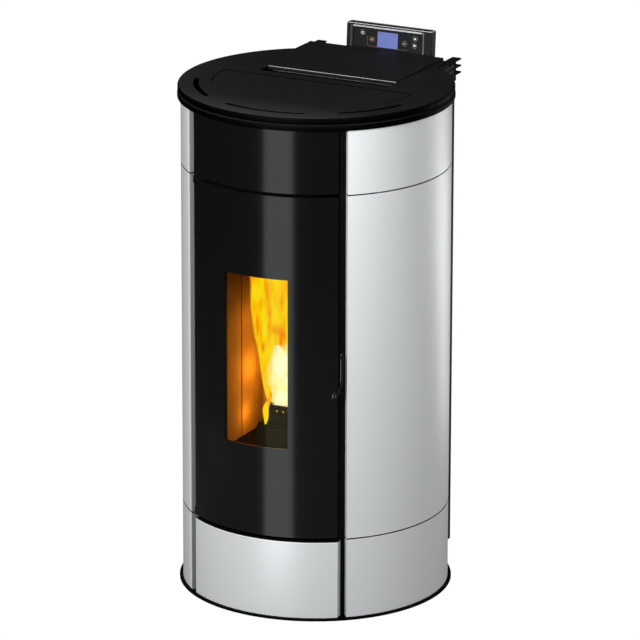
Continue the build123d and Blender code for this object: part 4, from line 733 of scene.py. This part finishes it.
# the body of the heap under the loose rods: a domed grid over a flat one, with walls round the edge
def addHeap(vertices, faces, look):
    lowX, highX, lowY, highY = look["spread"]
    wide = heapSteps + 1
    dome, flat = [], []
    for row in range(wide):
        for column in range(wide):
            x = lowX + (highX - lowX) * column / heapSteps
            y = lowY + (highY - lowY) * row / heapSteps
            top = heapHeight(look, 2 * column / heapSteps - 1, 2 * row / heapSteps - 1)
            dome.append((x, y, top - heapSunk))
            flat.append((x, y, look["bottom"]))
    over = len(vertices)
    under = over + len(dome)
    vertices += dome + flat
    for row in range(heapSteps):
        for column in range(heapSteps):
            a, b = over + row * wide + column, under + row * wide + column
            faces.append((a, a + 1, a + wide + 1, a + wide))
            faces.append((b, b + wide, b + wide + 1, b + 1))
    for step in range(heapSteps):
        walls = (
            (step, step + 1),
            (step * wide + heapSteps, (step + 1) * wide + heapSteps),
            (heapSteps * wide + step + 1, heapSteps * wide + step),
            ((step + 1) * wide, step * wide),
        )
        for first, second in walls:
            faces.append((over + first, under + first, under + second, over + second))


def addPellets(name, look, material):
    dice = random.Random(look["seed"])
    lowX, highX, lowY, highY = look["spread"]
    middleX, middleY = (lowX + highX) / 2, (lowY + highY) / 2
    vertices, faces = [], []
    for rod in range(look["count"]):
        across, along = dice.uniform(lowX, highX), dice.uniform(lowY, highY)
        offX, offY = 2 * (across - middleX) / (highX - lowX), 2 * (along - middleY) / (highY - lowY)
        top = heapHeight(look, offX, offY) + dice.uniform(*pelletShape["toss"])
        turn = dice.uniform(0, math.pi)
        tip = dice.uniform(-pelletShape["tip"], pelletShape["tip"])
        length = dice.uniform(*pelletShape["length"])
        addRod(vertices, faces, Vector((across, along, top)), turn, tip, length)
    addHeap(vertices, faces, look)
    thing = pieceFrom(name, vertices, faces, material, smooth=False)
    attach(thing, look["body"])
    return thing


woodPellet = {
    "color": (0.42, 0.25, 0.12), "rough": 0.75,
    "patches": (90, 0.35), "cells": (160, 0.5, (0.55, 0.37, 0.2)), "relief": (900, 0.0002), "wear": 0.1,
}
pelletFill = {
    "seed": 4, "count": 520, "spread": (-0.128, 0.128, 0.068, 0.248),
    "top": 0.890, "heap": 0.022, "bottom": 0.78, "body": "casing",
}
addPellets("pellet_fill", pelletFill, makeSurface("woodPellet", woodPellet))

emberGlow = {
    "color": (0.05, 0.03, 0.02), "rough": 0.9, "patches": (90, 0.3),
    "spots": 70, "stops": (0.4, 0.6), "colors": ((0.05, 0.004, 0), (1, 0.55, 0.06)), "strength": 1.5,
}
emberBed = {
    "seed": 9, "count": 90, "spread": (-0.034, 0.034, -0.120, -0.055),
    "top": 0.372, "heap": 0.010, "bottom": 0.345, "body": "pot",
}


# charred pellets that glow in spots
def makeEmbers(name, look):
    material = makeSurface(name, look)
    tree = material.node_tree
    shader = tree.nodes["Principled BSDF"]
    place = wire(tree, "ShaderNodeTexCoord", -1400, -900).outputs["Object"]
    spots = wire(tree, "ShaderNodeTexNoise", -1100, -900, Vector=place, Scale=look["spots"], Detail=4)
    heat = colorSteps(tree, -800, -900, spots.outputs["Fac"], look["stops"], look["colors"])
    tree.links.new(heat, shader.inputs["Emission Color"])
    shader.inputs["Emission Strength"].default_value = look["strength"]
    return material


addPellets("ember_bed", emberBed, makeEmbers("emberGlow", emberGlow))
print("pellets in the hopper and the pot")

# floor and world: white where the camera looks straight at them, dim for everything else
studio = {"floorSize": 60, "floor": grey(0.045), "sky": (0.9, 0.92, 0.95), "skyStrength": 0.06}


def whiteToCamera(tree, x, y, ordinary, white):
    seen = wire(tree, "ShaderNodeLightPath", x, y)
    return mixShaders(tree, x + 600, y - 300, seen.outputs["Is Camera Ray"], ordinary, white)


bpy.ops.mesh.primitive_plane_add(size=studio["floorSize"], location=(0, 0, 0))
floor = bpy.context.object
floor.name = "floor"
floorMaterial = bpy.data.materials.new("studioFloor")
floorMaterial.use_nodes = True
tree = floorMaterial.node_tree
paper = tree.nodes["Principled BSDF"]
paper.inputs["Base Color"].default_value = (*studio["floor"], 1)
paper.inputs["Roughness"].default_value = 0.9
plain = wire(tree, "ShaderNodeEmission", 0, 200)
shown = whiteToCamera(tree, -400, 400, paper.outputs[0], plain.outputs[0])
tree.links.new(shown, tree.nodes["Material Output"].inputs["Surface"])
floor.data.materials.append(floorMaterial)

world = bpy.data.worlds.new("studio")
scene.world = world
world.use_nodes = True
tree = world.node_tree
sky = tree.nodes["Background"]
sky.inputs["Color"].default_value = (*studio["sky"], 1)
sky.inputs["Strength"].default_value = studio["skyStrength"]
white = wire(tree, "ShaderNodeBackground", 0, 200, Color=(1, 1, 1, 1))
shown = whiteToCamera(tree, -400, 400, sky.outputs[0], white.outputs[0])
tree.links.new(shown, tree.nodes["World Output"].inputs["Surface"])


# lights stand round the axis: azimuth from the door towards +X, in degrees
def softbox(name, look):
    bpy.ops.object.light_add(type="AREA")
    lamp = bpy.context.object
    lamp.name = name
    lamp.data.shape = "RECTANGLE"
    lamp.data.size, lamp.data.size_y = look["size"]
    lamp.data.energy = look["power"]
    lamp.data.color = look.get("color", (1, 1, 1))
    turn = math.radians(look["azimuth"])
    distance, height = look["distance"], look["height"]
    lamp.location = (distance * math.sin(turn), -distance * math.cos(turn), height)
    aim = Vector((0, 0, look.get("aim", 0.55))) - lamp.location
    lamp.rotation_mode = "QUATERNION"
    lamp.rotation_quaternion = aim.to_track_quat("-Z", "Y")
    lamp.visible_camera = False
    lamp.visible_diffuse = look.get("lights", True)
    lamp.visible_glossy = look.get("gleams", True)
    return lamp


lamps = {
    "bandLight": {  # only for the upright gleam on the door
        "azimuth": 2.3, "distance": 0.55, "height": 0.5, "aim": 0.5,
        "size": (0.19, 1.0), "power": 0.98, "color": (0.93, 0.97, 1), "lights": False,
    },
    "rightLight": {"azimuth": 50, "distance": 2.2, "height": 1.7, "size": (1.2, 1.4), "power": 41},
    "frontLight": {"azimuth": -3, "distance": 1.8, "height": 1.5, "size": (0.9, 0.9), "power": 57},
    "lowLeftLight": {
        "azimuth": -55, "distance": 1.3, "height": 0.25, "aim": 0.1,
        "size": (0.7, 0.3), "power": 5, "gleams": False,
    },
    "lowRightLight": {
        "azimuth": 105, "distance": 1.6, "height": 0.2, "aim": 0.15,
        "size": (0.9, 0.3), "power": 7, "gleams": False,
    },
    "overLight": {"azimuth": 0, "distance": 0.1, "height": 3.2, "size": (0.8, 0.8), "power": 42},
    "backLight": {"azimuth": 142, "distance": 2.0, "height": 0.9, "size": (1.0, 1.6), "power": 3.4},
    "leftRimLight": {
        "azimuth": -136, "distance": 1.3, "height": 0.75, "aim": 0.6, "size": (0.12, 1.0), "power": 1.0,
    },
    "rimLight": {
        "azimuth": 148, "distance": 1.2, "height": 0.75, "aim": 0.6, "size": (0.25, 1.0), "power": 1.7,
    },
    "lowRimLight": {
        "azimuth": 155, "distance": 1.2, "height": 0.3, "aim": 0.4, "size": (0.3, 0.6), "power": 1.3,
    },
}
for name, look in lamps.items():
    softbox(name, look)

# the fire's own light on the linings, it leaves no mirror spots
fireLight = {"color": (1, 0.62, 0.15), "softness": 0.03}
fireLamps = {
    "fireLow": {"place": (-0.094, -0.085, 0.350), "power": 0.34},
    "fireMiddle": {"place": (-0.076, -0.068, 0.440), "power": 0.8},
    "fireHigh": {"place": (-0.068, -0.078, 0.540), "power": 0.38},
}
for name, look in fireLamps.items():
    bpy.ops.object.light_add(type="POINT", location=look["place"])
    glow = bpy.context.object
    glow.name = name
    glow.data.energy = look["power"]
    glow.data.color = fireLight["color"]
    glow.data.shadow_soft_size = fireLight["softness"]
    glow.visible_glossy = False
print("lights up")

view = {
    "place": (4.39833, -8.66957, 3.59386), "turn": (72.5243, -0.1191, 26.89),
    "sensor": 36, "lens": 290.07, "far": 100,
}
turned = [math.radians(angle) for angle in view["turn"]]
bpy.ops.object.camera_add(location=view["place"], rotation=turned)
camera = bpy.context.object
camera.data.sensor_width = view["sensor"]
camera.data.lens = view["lens"]
camera.data.clip_end = view["far"]
scene.camera = camera
